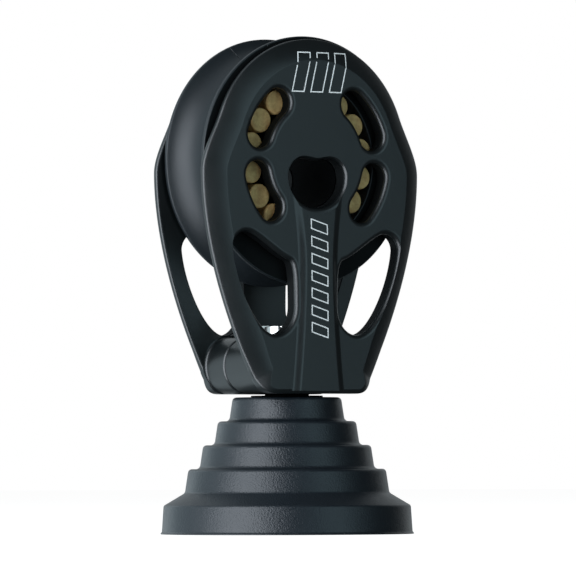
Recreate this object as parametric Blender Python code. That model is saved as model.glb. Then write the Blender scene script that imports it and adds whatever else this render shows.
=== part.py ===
# Stand-up block: a roller-bearing sheave between two aluminium cheeks, on a sprung rubber boot.
# Frame: origin at the centre of the base underside, +Z up, sheave axis along Y, front cheek at -Y.
import math

import bmesh
import bpy
from mathutils import Vector
from mathutils.geometry import interpolate_bezier

MM = 0.001

# Clearances
RUNNING_GAP = 0.3 * MM
SHEAVE_SIDE_GAP = 0.6 * MM
CUT_OVERRUN = 1.0 * MM

# Sheave and bearing
SHEAVE_AXIS_HEIGHT = 67.3 * MM
SHEAVE_RADIUS = 22.5 * MM
SHEAVE_HALF_WIDTH = 6.2 * MM
SHEAVE_RIM_LAND = 0.75 * MM
SHEAVE_RIM_CHAMFER = 0.4 * MM
SHEAVE_FLOOR_WALL = 4.55 * MM
ROLLER_COUNT = 16
ROLLER_RADIUS = 2.2 * MM
ROLLER_PITCH_RADIUS = 12.25 * MM
ROLLER_OVERHANG = 0.2 * MM
ROLLER_CHAMFER = 0.25 * MM
ROLLER_START_ANGLE = math.radians(9.7)

# Hub and the lashing hole through it
HUB_HOLE_HALF_WIDTH = 6.2 * MM
HUB_HOLE_CORNER_RADIUS = 3.4 * MM
HUB_HOLE_TOP = 0.4 * MM
HUB_HOLE_BOTTOM = -8.6 * MM
HUB_HOLE_DIP = 0.35 * MM
HUB_SCREW_REACH = 4.9 * MM
HUB_SCREW_RISE = 4.8 * MM

# Cheek plates, heights counted from the sheave axis
CHEEK_THICKNESS = 3.0 * MM
CHEEK_TOP_RADIUS = 21.1 * MM
CHEEK_TOP_RISE = 0.8 * MM
CHEEK_FLARE_ANGLE = math.radians(21.4)
SHOULDER_HALF_WIDTH = 23.75 * MM
SHOULDER_DROP = 2.3 * MM
FLARE_PULL = 4.2 * MM
SHOULDER_PULL = 3.2 * MM
TAPER_PULL = 11.7 * MM
FOOT_HALF_WIDTH = 12.8 * MM
FOOT_CORNER_RISE = 2.7 * MM
FOOT_FLAT_HALF_WIDTH = 8.8 * MM
FOOT_LEAN = 6.2 * MM
FOOT_PULL = 11.5 * MM
BEVEL_WIDTH = 3.9 * MM
BEVEL_DEPTH = 1.8 * MM
FOOT_BEVEL_WIDTH = 3.3 * MM
BOTTOM_BEVEL_WIDTH = 0.8 * MM
BEVEL_FADE_DROP = 34.0 * MM
RIM_CHAMFER = 0.4 * MM

# Bean-shaped slots over the roller race
SLOT_RADIUS = 13.15 * MM
SLOT_HALF_WIDTH = 3.05 * MM
UPPER_SLOT_ANGLES = (math.radians(20.0), math.radians(51.0))
LOWER_SLOT_ANGLES = (math.radians(-40.5), math.radians(-12.5))

# Windows below the race
RACE_WALL = 2.8 * MM
ARM_WIDTH = 5.5 * MM
WINDOW_INNER_X = 4.7 * MM
WINDOW_TOP_X = 15.3 * MM
WINDOW_TOP_DROP = 13.05 * MM
WINDOW_OUTER_DROP = 16.0 * MM
WINDOW_FOOT_X = 9.0 * MM
WINDOW_FOOT_WALL = 0.4 * MM
WINDOW_INNER_DROP = 23.0 * MM
WINDOW_CORNER_TURN = math.radians(4.0)

# Raised spine down the middle of each cheek
SPINE_HEIGHT = 0.6 * MM
SPINE_SLOPE = 1.3 * MM
SPINE_TOP_DROP = 3.0 * MM
SPINE_TOP_HALF_WIDTH = 4.9 * MM
SPINE_WAIST_DROP = 19.0 * MM
SPINE_WAIST_HALF_WIDTH = 3.05 * MM
SPINE_FOOT_HALF_WIDTH = 4.5 * MM
SPINE_FOOT_GAP = 0.5 * MM

# Cross-piece that joins the cheeks below the sheave
CROSS_HEIGHT = 10.2 * MM
CROSS_HALF_WIDTH = 13.15 * MM
PARTING_OFFSET = 0.9 * MM
FOOT_SCREW_REACH = 8.6 * MM

# Cheek screws
SCREW_RADIUS = 1.5 * MM
SCREW_HEAD_RADIUS = 2.8 * MM
SCREW_HEAD_HEIGHT = 1.5 * MM
SCREW_DEPTH = 1.8 * MM
HEX_SOCKET_RADIUS = 1.15 * MM
HEX_SOCKET_DEPTH = 0.8 * MM

# Swivel post and its nut
SPINDLE_RADIUS = 4.0 * MM
COLLAR_RADIUS = 6.5 * MM
NUT_RADIUS = 5.0 * MM
NUT_HEIGHT = 1.9 * MM
NUT_CHAMFER = 0.3 * MM

# Rubber boot
BOOT_HEIGHT = 24.7 * MM
BOOT_RING_RADIUS = 22.6 * MM
BOOT_RING_HEIGHT = 5.15 * MM
BOOT_LIP = 0.45 * MM
BOOT_LIP_HEIGHT = 0.6 * MM
BOOT_CHAMFER_HEIGHT = 2.3 * MM
TIER_COUNT = 4
TIER_BOTTOM_RADIUS = 18.5 * MM
TIER_TOP_RADIUS = 9.8 * MM
TIER_DRAFT = 0.65 * MM
TIER_ROUND = 0.5 * MM
BOOT_WALL = 2.2 * MM

# Base plate with the eye lugs
PLATE_RADIUS = 19.0 * MM
PLATE_THICKNESS = 2.0 * MM
DECK_HOLE_COUNT = 4
DECK_HOLE_RADIUS = 2.2 * MM
DECK_HOLE_PITCH_RADIUS = 12.5 * MM
LUG_THICKNESS = 2.0 * MM
LUG_HALF_WIDTH = 3.0 * MM

# Toggle and its crossed pins
FORE_PIN_HEIGHT = 7.0 * MM
SIDE_PIN_HEIGHT = 13.0 * MM
TOGGLE_HALF_WIDTH = 3.5 * MM
PIN_RADIUS = 1.75 * MM
PIN_HEAD_RADIUS = 2.8 * MM
PIN_HEAD_HEIGHT = 0.8 * MM
CLIP_RADIUS = 3.0 * MM
CLIP_THICKNESS = 0.6 * MM
PIN_END = 0.5 * MM

# Shape factors without a size: pulls of the curves and steps of the rounded bevel
QUARTER_PULL = 0.55
BEVEL_STEPS = ((0.0, 0.0), (0.10, 0.22), (0.55, 0.72), (0.88, 0.96), (1.0, 1.0))
WINDOW_SIDE_LEAN = 0.042
WINDOW_SIDE_PULL = 0.42
WINDOW_ARC_PULL = 0.32
WINDOW_ARC_END_PULL = 0.21
CORNER_SHARE = 0.7
SPINE_UPPER_POWER = 1.7
SPINE_LOWER_POWER = 1.8
SPINE_FIRST_RISE = 0.15
SPINE_RISE_RATE = 2.5

# Facets
SHEAVE_SEGMENTS = 52
BOOT_SEGMENTS = 32
ROLLER_SEGMENTS = 12
HUB_SEGMENTS = 36
ROUND_SEGMENTS = 20
ROUND_END_STEPS = 6
SMOOTH_ANGLE = math.radians(28.0)

CHEEK_INNER = SHEAVE_HALF_WIDTH + SHEAVE_SIDE_GAP
CHEEK_FACE = CHEEK_INNER + CHEEK_THICKNESS
CHEEK_EDGE = CHEEK_FACE - BEVEL_DEPTH
SPINE_FACE = CHEEK_FACE + SPINE_HEIGHT
RACE_INNER_RADIUS = ROLLER_PITCH_RADIUS - ROLLER_RADIUS - RUNNING_GAP
RACE_OUTER_RADIUS = ROLLER_PITCH_RADIUS + ROLLER_RADIUS + RUNNING_GAP
ROPE_GROOVE_DEPTH = SHEAVE_RADIUS - RACE_OUTER_RADIUS - SHEAVE_FLOOR_WALL
COLLAR_TOP = BOOT_HEIGHT + RUNNING_GAP
HEAD_FOOT = COLLAR_TOP + RUNNING_GAP
FOOT_DROP = SHEAVE_AXIS_HEIGHT - HEAD_FOOT
CROSS_TOP = HEAD_FOOT + CROSS_HEIGHT
NUT_BASE = CROSS_TOP + RUNNING_GAP
SPINDLE_TOP = NUT_BASE + NUT_HEIGHT - NUT_CHAMFER
FORE_REACH = TOGGLE_HALF_WIDTH + RUNNING_GAP + LUG_THICKNESS
FORK_ROOF = SIDE_PIN_HEIGHT + TOGGLE_HALF_WIDTH + RUNNING_GAP
AXIS = Vector((0.0, 0.0, SHEAVE_AXIS_HEIGHT))

COLOURS = {
    "anodised": ((0.020, 0.024, 0.027), 0.42, 0.6),
    "sheave": ((0.030, 0.034, 0.038), 0.38, 0.5),
    "roller": ((0.280, 0.200, 0.085), 0.55, 0.0),
    "rubber": ((0.024, 0.027, 0.031), 0.62, 0.0),
    "steel": ((0.560, 0.570, 0.580), 0.22, 1.0),
    "black_steel": ((0.015, 0.016, 0.018), 0.45, 0.7),
}


def clear_scene():
    for obj in list(bpy.data.objects):
        bpy.data.objects.remove(obj, do_unlink=True)


def make_material(kind):
    material = bpy.data.materials.get(kind)
    if material is None:
        colour, roughness, metallic = COLOURS[kind]
        material = bpy.data.materials.new(kind)
        material.use_nodes = True
        shader = material.node_tree.nodes["Principled BSDF"]
        shader.inputs["Base Color"].default_value = (*colour, 1.0)
        shader.inputs["Roughness"].default_value = roughness
        shader.inputs["Metallic"].default_value = metallic
    return material


def add_object(name, bm, kind, origin=(0.0, 0.0, 0.0), parent=None):
    """Make one object from a mesh in world coordinates, with its own origin and parent."""
    bmesh.ops.recalc_face_normals(bm, faces=bm.faces[:])
    bmesh.ops.translate(bm, verts=bm.verts[:], vec=-Vector(origin))
    mesh = bpy.data.meshes.new(name)
    bm.to_mesh(mesh)
    bm.free()
    mesh.shade_smooth()
    mesh.set_sharp_from_angle(angle=SMOOTH_ANGLE)
    obj = bpy.data.objects.new(name, mesh)
    bpy.context.scene.collection.objects.link(obj)
    obj.location = Vector(origin)
    if kind:
        mesh.materials.append(make_material(kind))
    if parent:
        obj.parent = parent
        obj.location = Vector(origin) - parent.matrix_world.translation
    return obj


def add_pivot(name, location, parent=None):
    """An empty on a joint's axis, which the moving pieces hang from."""
    pivot = bpy.data.objects.new(name, None)
    bpy.context.scene.collection.objects.link(pivot)
    pivot.empty_display_size = 0.005
    pivot.location = Vector(location)
    if parent:
        pivot.parent = parent
        pivot.location = Vector(location) - parent.matrix_world.translation
    bpy.context.view_layer.update()
    return pivot


def cutter(name, bm):
    obj = add_object(name, bm, None)
    obj.hide_render = True
    obj.display_type = "WIRE"
    return obj


def combine(obj, other, operation):
    """Boolean in place: the other object is a guide that isn't part of the model."""
    modifier = obj.modifiers.new(operation.lower() + "_" + other.name, "BOOLEAN")
    modifier.operation = operation
    modifier.object = other
    modifier.solver = "EXACT"


def loft(bm, rings):
    """Skin closed rings of points and cap both ends."""
    loops = [[bm.verts.new(point) for point in ring] for ring in rings]
    count = len(loops[0])
    for lower, upper in zip(loops, loops[1:]):
        for i in range(count):
            j = (i + 1) % count
            bm.faces.new((lower[i], lower[j], upper[j], upper[i]))
    bm.faces.new(loops[0])
    bm.faces.new(list(reversed(loops[-1])))
    return bm


def on_cheek(outline, depth, side):
    """Place an outline counted from the sheave axis at a distance from the middle plane."""
    return [Vector((x, side * depth, SHEAVE_AXIS_HEIGHT + z)) for x, z in outline]


def turn(bm, profile, axis, centre, segments, closed):
    """Spin a profile of (radius, along) pairs a full turn about an axis through the centre."""
    along = Vector(axis)
    across = Vector((0.0, 0.0, 1.0)) if abs(along.z) < 0.5 else Vector((1.0, 0.0, 0.0))
    centre = Vector(centre)
    verts = [bm.verts.new(centre + across * r + along * a) for r, a in profile]
    edges = [bm.edges.new(pair) for pair in zip(verts, verts[1:])]
    if closed:
        edges.append(bm.edges.new((verts[-1], verts[0])))
    bmesh.ops.spin(
        bm,
        geom=verts + edges,
        cent=centre,
        axis=along,
        angle=2.0 * math.pi,
        steps=segments,
        use_duplicate=False,
    )
    bmesh.ops.remove_doubles(bm, verts=bm.verts[:], dist=1e-7)
    return bm


def rod(start, end, radius, axis, segments=ROUND_SEGMENTS, centre=(0.0, 0.0, 0.0), chamfer=0.0):
    """A solid cylinder between two stations along an axis, with optional end chamfers."""
    profile = [(0.0, start), (radius - chamfer, start), (radius, start + chamfer)]
    profile += [(radius, end - chamfer), (radius - chamfer, end), (0.0, end)]
    if chamfer == 0.0:
        profile = [(0.0, start), (radius, start), (radius, end), (0.0, end)]
    return turn(bmesh.new(), profile, axis, centre, segments, False)


def arc(cx, cz, radius, start, end, steps):
    """Points on a circle from one angle to another, both ends included."""
    angles = [start + (end - start) * i / steps for i in range(steps + 1)]
    return [(cx + radius * math.cos(a), cz + radius * math.sin(a)) for a in angles]


def curve(p0, c0, c1, p1, steps):
    """A cubic from p0 to p1 with its two pull points, without the last point."""
    points = [Vector((*p, 0.0)) for p in (p0, c0, c1, p1)]
    return [(p.x, p.y) for p in interpolate_bezier(*points, steps + 1)[:-1]]


def mirrored(half):
    """Close a right-hand outline that runs from the top centre to the bottom centre."""
    return half + [(-x, z) for x, z in reversed(half) if x > 1e-9]


# Cheek outlines

def cheek_half_outline():
    """Right half of the cheek: top arc, flared shoulder, long taper and rounded foot."""
    top = arc(0.0, CHEEK_TOP_RISE, CHEEK_TOP_RADIUS, math.pi / 2.0, CHEEK_FLARE_ANGLE, 10)
    start = top[-1]
    a = CHEEK_FLARE_ANGLE
    shoulder = (SHOULDER_HALF_WIDTH, -SHOULDER_DROP)
    flare_out = (start[0] + FLARE_PULL * math.sin(a), start[1] - FLARE_PULL * math.cos(a))
    flare = curve(start, flare_out, (shoulder[0], shoulder[1] + SHOULDER_PULL), shoulder, 6)
    foot = (FOOT_HALF_WIDTH, -FOOT_DROP + FOOT_CORNER_RISE)
    taper_in = (foot[0] + FOOT_LEAN, foot[1] + FOOT_PULL)
    taper = curve(shoulder, (shoulder[0], shoulder[1] - TAPER_PULL), taper_in, foot, 9)
    end = (FOOT_FLAT_HALF_WIDTH, -FOOT_DROP)
    lean = FOOT_LEAN / FOOT_PULL
    pull = FOOT_CORNER_RISE * CORNER_SHARE
    corner = (foot[0] - lean * pull, foot[1] - pull)
    knee = (end[0] + pull, -FOOT_DROP)
    bottom = curve(foot, corner, knee, end, 4)
    return top[:-1] + flare + taper + bottom + [end]


def inset(outline, width_at):
    """Move each point of a clockwise outline inwards along its normal."""
    moved = []
    count = len(outline)
    for i, (x, z) in enumerate(outline):
        before = outline[i - 1]
        after = outline[(i + 1) % count]
        along = Vector((after[0] - before[0], after[1] - before[1])).normalized()
        width = width_at(z)
        moved.append((x + along.y * width, z - along.x * width))
    return moved


def bevel_width_at(z):
    """The bevel keeps its width down the arms, narrows to the foot and nearly ends along the bottom."""
    corner_drop = FOOT_DROP - FOOT_CORNER_RISE
    fade = min(max((-z - BEVEL_FADE_DROP) / (corner_drop - BEVEL_FADE_DROP), 0.0), 1.0)
    corner = min(max((-z - corner_drop) / FOOT_CORNER_RISE, 0.0), 1.0)
    side = BEVEL_WIDTH + (FOOT_BEVEL_WIDTH - BEVEL_WIDTH) * fade
    return side + (BOTTOM_BEVEL_WIDTH - FOOT_BEVEL_WIDTH) * corner


def cheek_blank(side):
    """Plate with a straight edge, a shallow rounded bevel and a flat face."""
    outline = mirrored(cheek_half_outline())
    falls = [BEVEL_DEPTH * bevel_width_at(z) / BEVEL_WIDTH for x, z in outline]
    rings = [on_cheek(outline, CHEEK_INNER, side)]
    for share, rise in BEVEL_STEPS:
        ring = on_cheek(inset(outline, lambda z: share * bevel_width_at(z)), CHEEK_FACE, side)
        sinks = [side * fall * (1.0 - rise) for fall in falls]
        rings.append([point - Vector((0.0, sink, 0.0)) for point, sink in zip(ring, sinks)])
    return loft(bmesh.new(), rings)


def slot_outline(angles):
    """Bean shape that follows the roller circle, rounded at both ends."""
    start, end = angles
    outer = arc(0.0, 0.0, SLOT_RADIUS + SLOT_HALF_WIDTH, start, end, 4)
    inner = arc(0.0, 0.0, SLOT_RADIUS - SLOT_HALF_WIDTH, end, start, 3)
    first = (SLOT_RADIUS * math.cos(start), SLOT_RADIUS * math.sin(start))
    last = (SLOT_RADIUS * math.cos(end), SLOT_RADIUS * math.sin(end))
    cap_last = arc(*last, SLOT_HALF_WIDTH, end, end + math.pi, ROUND_END_STEPS)[1:-1]
    cap_first = arc(*first, SLOT_HALF_WIDTH, start + math.pi, start + 2.0 * math.pi, ROUND_END_STEPS)[1:-1]
    return outer + cap_last + inner + cap_first


def window_outline():
    """Tear-shaped window: an arc round the race, a side along the arm and a rounded foot."""
    arc_radius = SLOT_RADIUS + SLOT_HALF_WIDTH + RACE_WALL
    outer_x = SHOULDER_HALF_WIDTH - ARM_WIDTH
    foot_z = -(SHEAVE_AXIS_HEIGHT - CROSS_TOP) + WINDOW_FOOT_WALL
    top = (WINDOW_TOP_X, -WINDOW_TOP_DROP)
    outer = (outer_x, -WINDOW_OUTER_DROP)
    foot = (WINDOW_FOOT_X, foot_z)
    inner = (WINDOW_INNER_X, -WINDOW_INNER_DROP)
    turn_in = math.asin(WINDOW_INNER_X / arc_radius) + WINDOW_CORNER_TURN
    corner = (arc_radius * math.sin(turn_in), -arc_radius * math.cos(turn_in))
    tangent = (math.cos(turn_in), math.sin(turn_in))
    depth = outer[1] - foot[1]
    points = curve(top, (top[0] + QUARTER_PULL * (outer_x - top[0]), top[1]),
                   (outer_x, outer[1] + QUARTER_PULL * (top[1] - outer[1])), outer, 4)
    points += curve(outer, (outer_x - WINDOW_SIDE_LEAN * depth, outer[1] - WINDOW_SIDE_PULL * depth),
                    (foot[0] + WINDOW_SIDE_PULL * (outer_x - foot[0]), foot[1]), foot, 7)
    points += curve(foot, (foot[0] + QUARTER_PULL * (inner[0] - foot[0]), foot[1]),
                    (inner[0], inner[1] + QUARTER_PULL * (foot[1] - inner[1])), inner, 5)
    reach = corner[0] - inner[0]
    points += curve(inner, (inner[0], inner[1] + QUARTER_PULL * (corner[1] - inner[1])),
                    (corner[0] - reach * tangent[0], corner[1] - reach * tangent[1]), corner, 4)
    span = top[0] - corner[0]
    pull = WINDOW_ARC_PULL * span
    points += curve(corner, (corner[0] + pull * tangent[0], corner[1] + pull * tangent[1]),
                    (top[0] - WINDOW_ARC_END_PULL * span, top[1]), top, 5)
    return points


def hub_hole_outline():
    """Kidney-shaped lashing hole: round shoulders, a dip in the middle and a deep round foot."""
    centre_x = HUB_HOLE_HALF_WIDTH - HUB_HOLE_CORNER_RADIUS
    centre_z = HUB_HOLE_TOP - HUB_HOLE_CORNER_RADIUS
    half = [(0.0, HUB_HOLE_TOP - HUB_HOLE_DIP)]
    half += arc(centre_x, centre_z, HUB_HOLE_CORNER_RADIUS, math.pi / 2.0, 0.0, 5)
    deep = centre_z - HUB_HOLE_BOTTOM
    angles = [math.pi / 2.0 * i / 6 for i in range(1, 7)]
    half += [(HUB_HOLE_HALF_WIDTH * math.cos(a), centre_z - deep * math.sin(a)) for a in angles]
    half[-1] = (0.0, HUB_HOLE_BOTTOM)
    return mirrored(half)


def runs_clockwise(outline):
    area = sum(a[0] * b[1] - b[0] * a[1] for a, b in zip(outline, outline[1:] + outline[:1]))
    return area < 0.0


def through_cutter(name, outline, side, chamfered=True):
    """A cutter through one cheek, whose mouth can open out by the rim chamfer at the face."""
    rings = [on_cheek(outline, CHEEK_INNER - CUT_OVERRUN, side)]
    if chamfered:
        outward = -RIM_CHAMFER if runs_clockwise(outline) else RIM_CHAMFER
        grown = inset(outline, lambda z: outward)
        rings.append(on_cheek(outline, CHEEK_FACE - RIM_CHAMFER, side))
        rings.append(on_cheek(grown, CHEEK_FACE, side))
        rings.append(on_cheek(grown, SPINE_FACE + CUT_OVERRUN, side))
    else:
        rings.append(on_cheek(outline, SPINE_FACE + CUT_OVERRUN, side))
    return cutter(name, loft(bmesh.new(), rings))


def spine_half_width(drop):
    """The spine narrows from the hub hole to its waist and widens again to the foot."""
    waist = SPINE_WAIST_HALF_WIDTH
    if drop < SPINE_WAIST_DROP:
        share = (SPINE_WAIST_DROP - drop) / (SPINE_WAIST_DROP - SPINE_TOP_DROP)
        return waist + (SPINE_TOP_HALF_WIDTH - waist) * share ** SPINE_UPPER_POWER
    share = (drop - SPINE_WAIST_DROP) / (FOOT_DROP - SPINE_WAIST_DROP)
    return waist + (SPINE_FOOT_HALF_WIDTH - waist) * share ** SPINE_LOWER_POWER


def spine(name, side):
    """A low bar with sloping sides, lofted from the hub hole down to the foot."""
    steps = 8
    last = FOOT_DROP - SPINE_FOOT_GAP
    rings = []
    for i in range(steps + 1):
        drop = SPINE_TOP_DROP + (last - SPINE_TOP_DROP) * i / steps
        rise = SPINE_HEIGHT * min(1.0, SPINE_FIRST_RISE + SPINE_RISE_RATE * i / steps)
        half = spine_half_width(drop)
        z = SHEAVE_AXIS_HEIGHT - drop
        right = [(half, CHEEK_FACE + rise), (half + SPINE_SLOPE, CHEEK_FACE)]
        right.append((half + SPINE_SLOPE, CHEEK_EDGE))
        section = [(-x, depth) for x, depth in reversed(right)] + right
        rings.append([Vector((x, side * depth, z)) for x, depth in section])
    return cutter(name, loft(bmesh.new(), rings))


def cross_outline():
    """Rounded bar seen from the front, just inside the cheek's own outline."""
    radius = CROSS_HEIGHT / 2.0
    centre_z = -FOOT_DROP + radius
    right = arc(CROSS_HALF_WIDTH - radius, centre_z, radius, math.pi / 2.0, -math.pi / 2.0, 10)
    left = arc(radius - CROSS_HALF_WIDTH, centre_z, radius, -math.pi / 2.0, -3.0 * math.pi / 2.0, 10)
    return right + left


def cross_half(name, side):
    """One cheek's half of the cross-piece, from inside the plate to the parting plane."""
    inner = PARTING_OFFSET * side + RUNNING_GAP / 2.0
    rings = [on_cheek(cross_outline(), depth, side) for depth in (CHEEK_EDGE, inner)]
    return cutter(name, loft(bmesh.new(), rings))


def screw_places():
    """Screw positions on the cheek, counted from the sheave axis: hub pair, then foot pair."""
    foot_z = -FOOT_DROP + CROSS_HEIGHT / 2.0
    hub = [(side * HUB_SCREW_REACH, HUB_SCREW_RISE) for side in (-1, 1)]
    foot = [(side * FOOT_SCREW_REACH, foot_z) for side in (-1, 1)]
    return hub + foot


def screw_seat(name, place, blind_depth):
    """Clearance hole from the rear face, countersunk, ending blind in the front cheek."""
    head = SCREW_HEAD_RADIUS + RUNNING_GAP
    shank = SCREW_RADIUS + RUNNING_GAP
    top = CHEEK_FACE
    sunk = top - SCREW_HEAD_HEIGHT
    profile = [(0.0, -blind_depth), (shank, -blind_depth), (shank, sunk), (head, top)]
    profile += [(head, top + CUT_OVERRUN), (0.0, top + CUT_OVERRUN)]
    centre = AXIS + Vector((place[0], 0.0, place[1]))
    return cutter(name, turn(bmesh.new(), profile, (0.0, 1.0, 0.0), centre, ROUND_SEGMENTS, False))


def blind_depth_of_screws():
    return CHEEK_INNER + SCREW_DEPTH


def cheek(name, side, parent):
    """One cheek: bevelled plate, spine, slots, windows, lashing hole and half the cross-piece."""
    obj = add_object(name, cheek_blank(side), "anodised", AXIS, parent)
    combine(obj, spine(name + "_spine", side), "UNION")
    combine(obj, cross_half(name + "_cross", side), "UNION")
    for hand in (-1, 1):
        for row, angles in (("upper", UPPER_SLOT_ANGLES), ("lower", LOWER_SLOT_ANGLES)):
            outline = [(hand * x, z) for x, z in slot_outline(angles)]
            label = name + "_" + row + "_slot_" + ("right" if hand > 0 else "left")
            combine(obj, through_cutter(label, outline, side), "DIFFERENCE")
        outline = [(hand * x, z) for x, z in window_outline()]
        label = name + "_window_" + ("right" if hand > 0 else "left")
        combine(obj, through_cutter(label, outline, side, False), "DIFFERENCE")
    combine(obj, through_cutter(name + "_hub_hole", hub_hole_outline(), side, False), "DIFFERENCE")
    bore = rod(HEAD_FOOT - CUT_OVERRUN, CROSS_TOP + CUT_OVERRUN, SPINDLE_RADIUS + RUNNING_GAP, (0, 0, 1))
    combine(obj, cutter(name + "_swivel_bore", bore), "DIFFERENCE")
    for i, place in enumerate(screw_places()):
        seat = screw_seat(name + "_screw_seat_" + str(i + 1), place, blind_depth_of_screws())
        combine(obj, seat, "DIFFERENCE")
    return obj


def make_hub(parent):
    """Fixed inner race between the cheeks, with the lashing hole through it."""
    half = CHEEK_INNER - RUNNING_GAP
    bm = rod(-half, half, RACE_INNER_RADIUS, (0, 1, 0), HUB_SEGMENTS, AXIS)
    obj = add_object("hub", bm, "black_steel", AXIS, parent)
    rings = [on_cheek(hub_hole_outline(), depth, 1) for depth in (-half - CUT_OVERRUN, half + CUT_OVERRUN)]
    combine(obj, cutter("hub_lashing_hole", loft(bmesh.new(), rings)), "DIFFERENCE")
    for i, place in enumerate(screw_places()[:2]):
        seat = screw_seat("hub_screw_bore_" + str(i + 1), place, blind_depth_of_screws())
        combine(obj, seat, "DIFFERENCE")
    return obj


def make_screws(parent):
    """Four countersunk socket screws, set from the rear cheek into the front one."""
    names = ("hub_screw_left", "hub_screw_right", "foot_screw_left", "foot_screw_right")
    tip = -blind_depth_of_screws() + RUNNING_GAP
    sunk = CHEEK_FACE - SCREW_HEAD_HEIGHT
    for name, place in zip(names, screw_places()):
        centre = AXIS + Vector((place[0], 0.0, place[1]))
        profile = [(0.0, tip), (SCREW_RADIUS, tip), (SCREW_RADIUS, sunk)]
        profile += [(SCREW_HEAD_RADIUS, CHEEK_FACE), (0.0, CHEEK_FACE)]
        bm = turn(bmesh.new(), profile, (0.0, 1.0, 0.0), centre, 12, False)
        obj = add_object(name, bm, "black_steel", centre, parent)
        floor = CHEEK_FACE - HEX_SOCKET_DEPTH
        socket = rod(floor, CHEEK_FACE + CUT_OVERRUN, HEX_SOCKET_RADIUS, (0, 1, 0), 6, centre)
        combine(obj, cutter(name + "_socket", socket), "DIFFERENCE")


def sheave_profile():
    """Section of the sheave: bore, flat sides, small rim lands and a round rope groove."""
    half = SHEAVE_HALF_WIDTH
    mouth = half - SHEAVE_RIM_LAND
    depth = ROPE_GROOVE_DEPTH
    radius = (mouth ** 2 + depth ** 2) / (2.0 * depth)
    centre = SHEAVE_RADIUS - depth + radius
    spread = math.atan2(mouth, centre - SHEAVE_RADIUS)
    groove = [(centre - radius * math.cos(a), radius * math.sin(a))
              for a in [-spread + 2.0 * spread * i / 8 for i in range(9)]]
    lower = [(RACE_OUTER_RADIUS, -half), (SHEAVE_RADIUS - SHEAVE_RIM_CHAMFER, -half)]
    lower.append((SHEAVE_RADIUS, -half + SHEAVE_RIM_CHAMFER))
    upper = [(r, -y) for r, y in reversed(lower)]
    return lower + groove + upper


def make_sheave(parent):
    bm = turn(bmesh.new(), sheave_profile(), (0, 1, 0), AXIS, SHEAVE_SEGMENTS, True)
    return add_object("sheave", bm, "sheave", AXIS, parent)


def make_rollers(parent):
    """Full ring of plain rollers between the hub and the sheave."""
    half = SHEAVE_HALF_WIDTH + ROLLER_OVERHANG
    for i in range(ROLLER_COUNT):
        angle = ROLLER_START_ANGLE + 2.0 * math.pi * i / ROLLER_COUNT
        place = Vector((math.cos(angle), 0.0, math.sin(angle))) * ROLLER_PITCH_RADIUS
        bm = rod(-half, half, ROLLER_RADIUS, (0, 1, 0), ROLLER_SEGMENTS, AXIS + place, ROLLER_CHAMFER)
        add_object("roller_{:02d}".format(i + 1), bm, "roller", AXIS + place, parent)


# Boot, base and tilting pieces

def tier_stations():
    """Bottom radius, top radius, bottom height and top height of each tier of the boot."""
    start = BOOT_RING_HEIGHT + BOOT_CHAMFER_HEIGHT
    rise = (BOOT_HEIGHT - start) / TIER_COUNT
    step = (TIER_BOTTOM_RADIUS - TIER_TOP_RADIUS - TIER_DRAFT) / (TIER_COUNT - 1)
    tiers = []
    for i in range(TIER_COUNT):
        radius = TIER_BOTTOM_RADIUS - step * i
        tiers.append((radius, radius - TIER_DRAFT, start + rise * i, start + rise * (i + 1)))
    return tiers


def boot_profile():
    """Closed section of the boot: stepped outside, and an inside that follows it by the wall."""
    outside = [(BOOT_RING_RADIUS + BOOT_LIP, 0.0), (BOOT_RING_RADIUS, BOOT_LIP_HEIGHT)]
    outside.append((BOOT_RING_RADIUS - BOOT_LIP / 2.0, BOOT_RING_HEIGHT))
    for low_radius, high_radius, low, high in tier_stations():
        outside.append((low_radius, low))
        outside.append((high_radius, high - TIER_ROUND))
        outside.append((high_radius - TIER_ROUND, high))
    mouth = COLLAR_RADIUS + RUNNING_GAP
    inside = [(mouth, BOOT_HEIGHT), (mouth, BOOT_HEIGHT - BOOT_WALL)]
    for low_radius, high_radius, low, high in reversed(tier_stations()):
        inside.append((high_radius - BOOT_WALL, high - BOOT_WALL))
        inside.append((low_radius - BOOT_WALL, low - BOOT_WALL / 2.0))
    seat = PLATE_THICKNESS + RUNNING_GAP
    inner_ring = PLATE_RADIUS + RUNNING_GAP
    inside.append((TIER_BOTTOM_RADIUS - BOOT_WALL, seat))
    inside.append((inner_ring, seat))
    inside.append((inner_ring, 0.0))
    return outside + inside


def make_boot():
    bm = turn(bmesh.new(), boot_profile(), (0, 0, 1), (0, 0, 0), BOOT_SEGMENTS, True)
    return add_object("boot", bm, "rubber")


def tongue(half_width, root, pin_height, steps=8):
    """Tongue from its root, above or below, to a round end about a pin: side and height pairs."""
    turn_way = math.pi if root < pin_height else -math.pi
    end = arc(0.0, pin_height, half_width, 0.0, turn_way, steps)
    return [(half_width, root)] + end + [(-half_width, root)]


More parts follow.
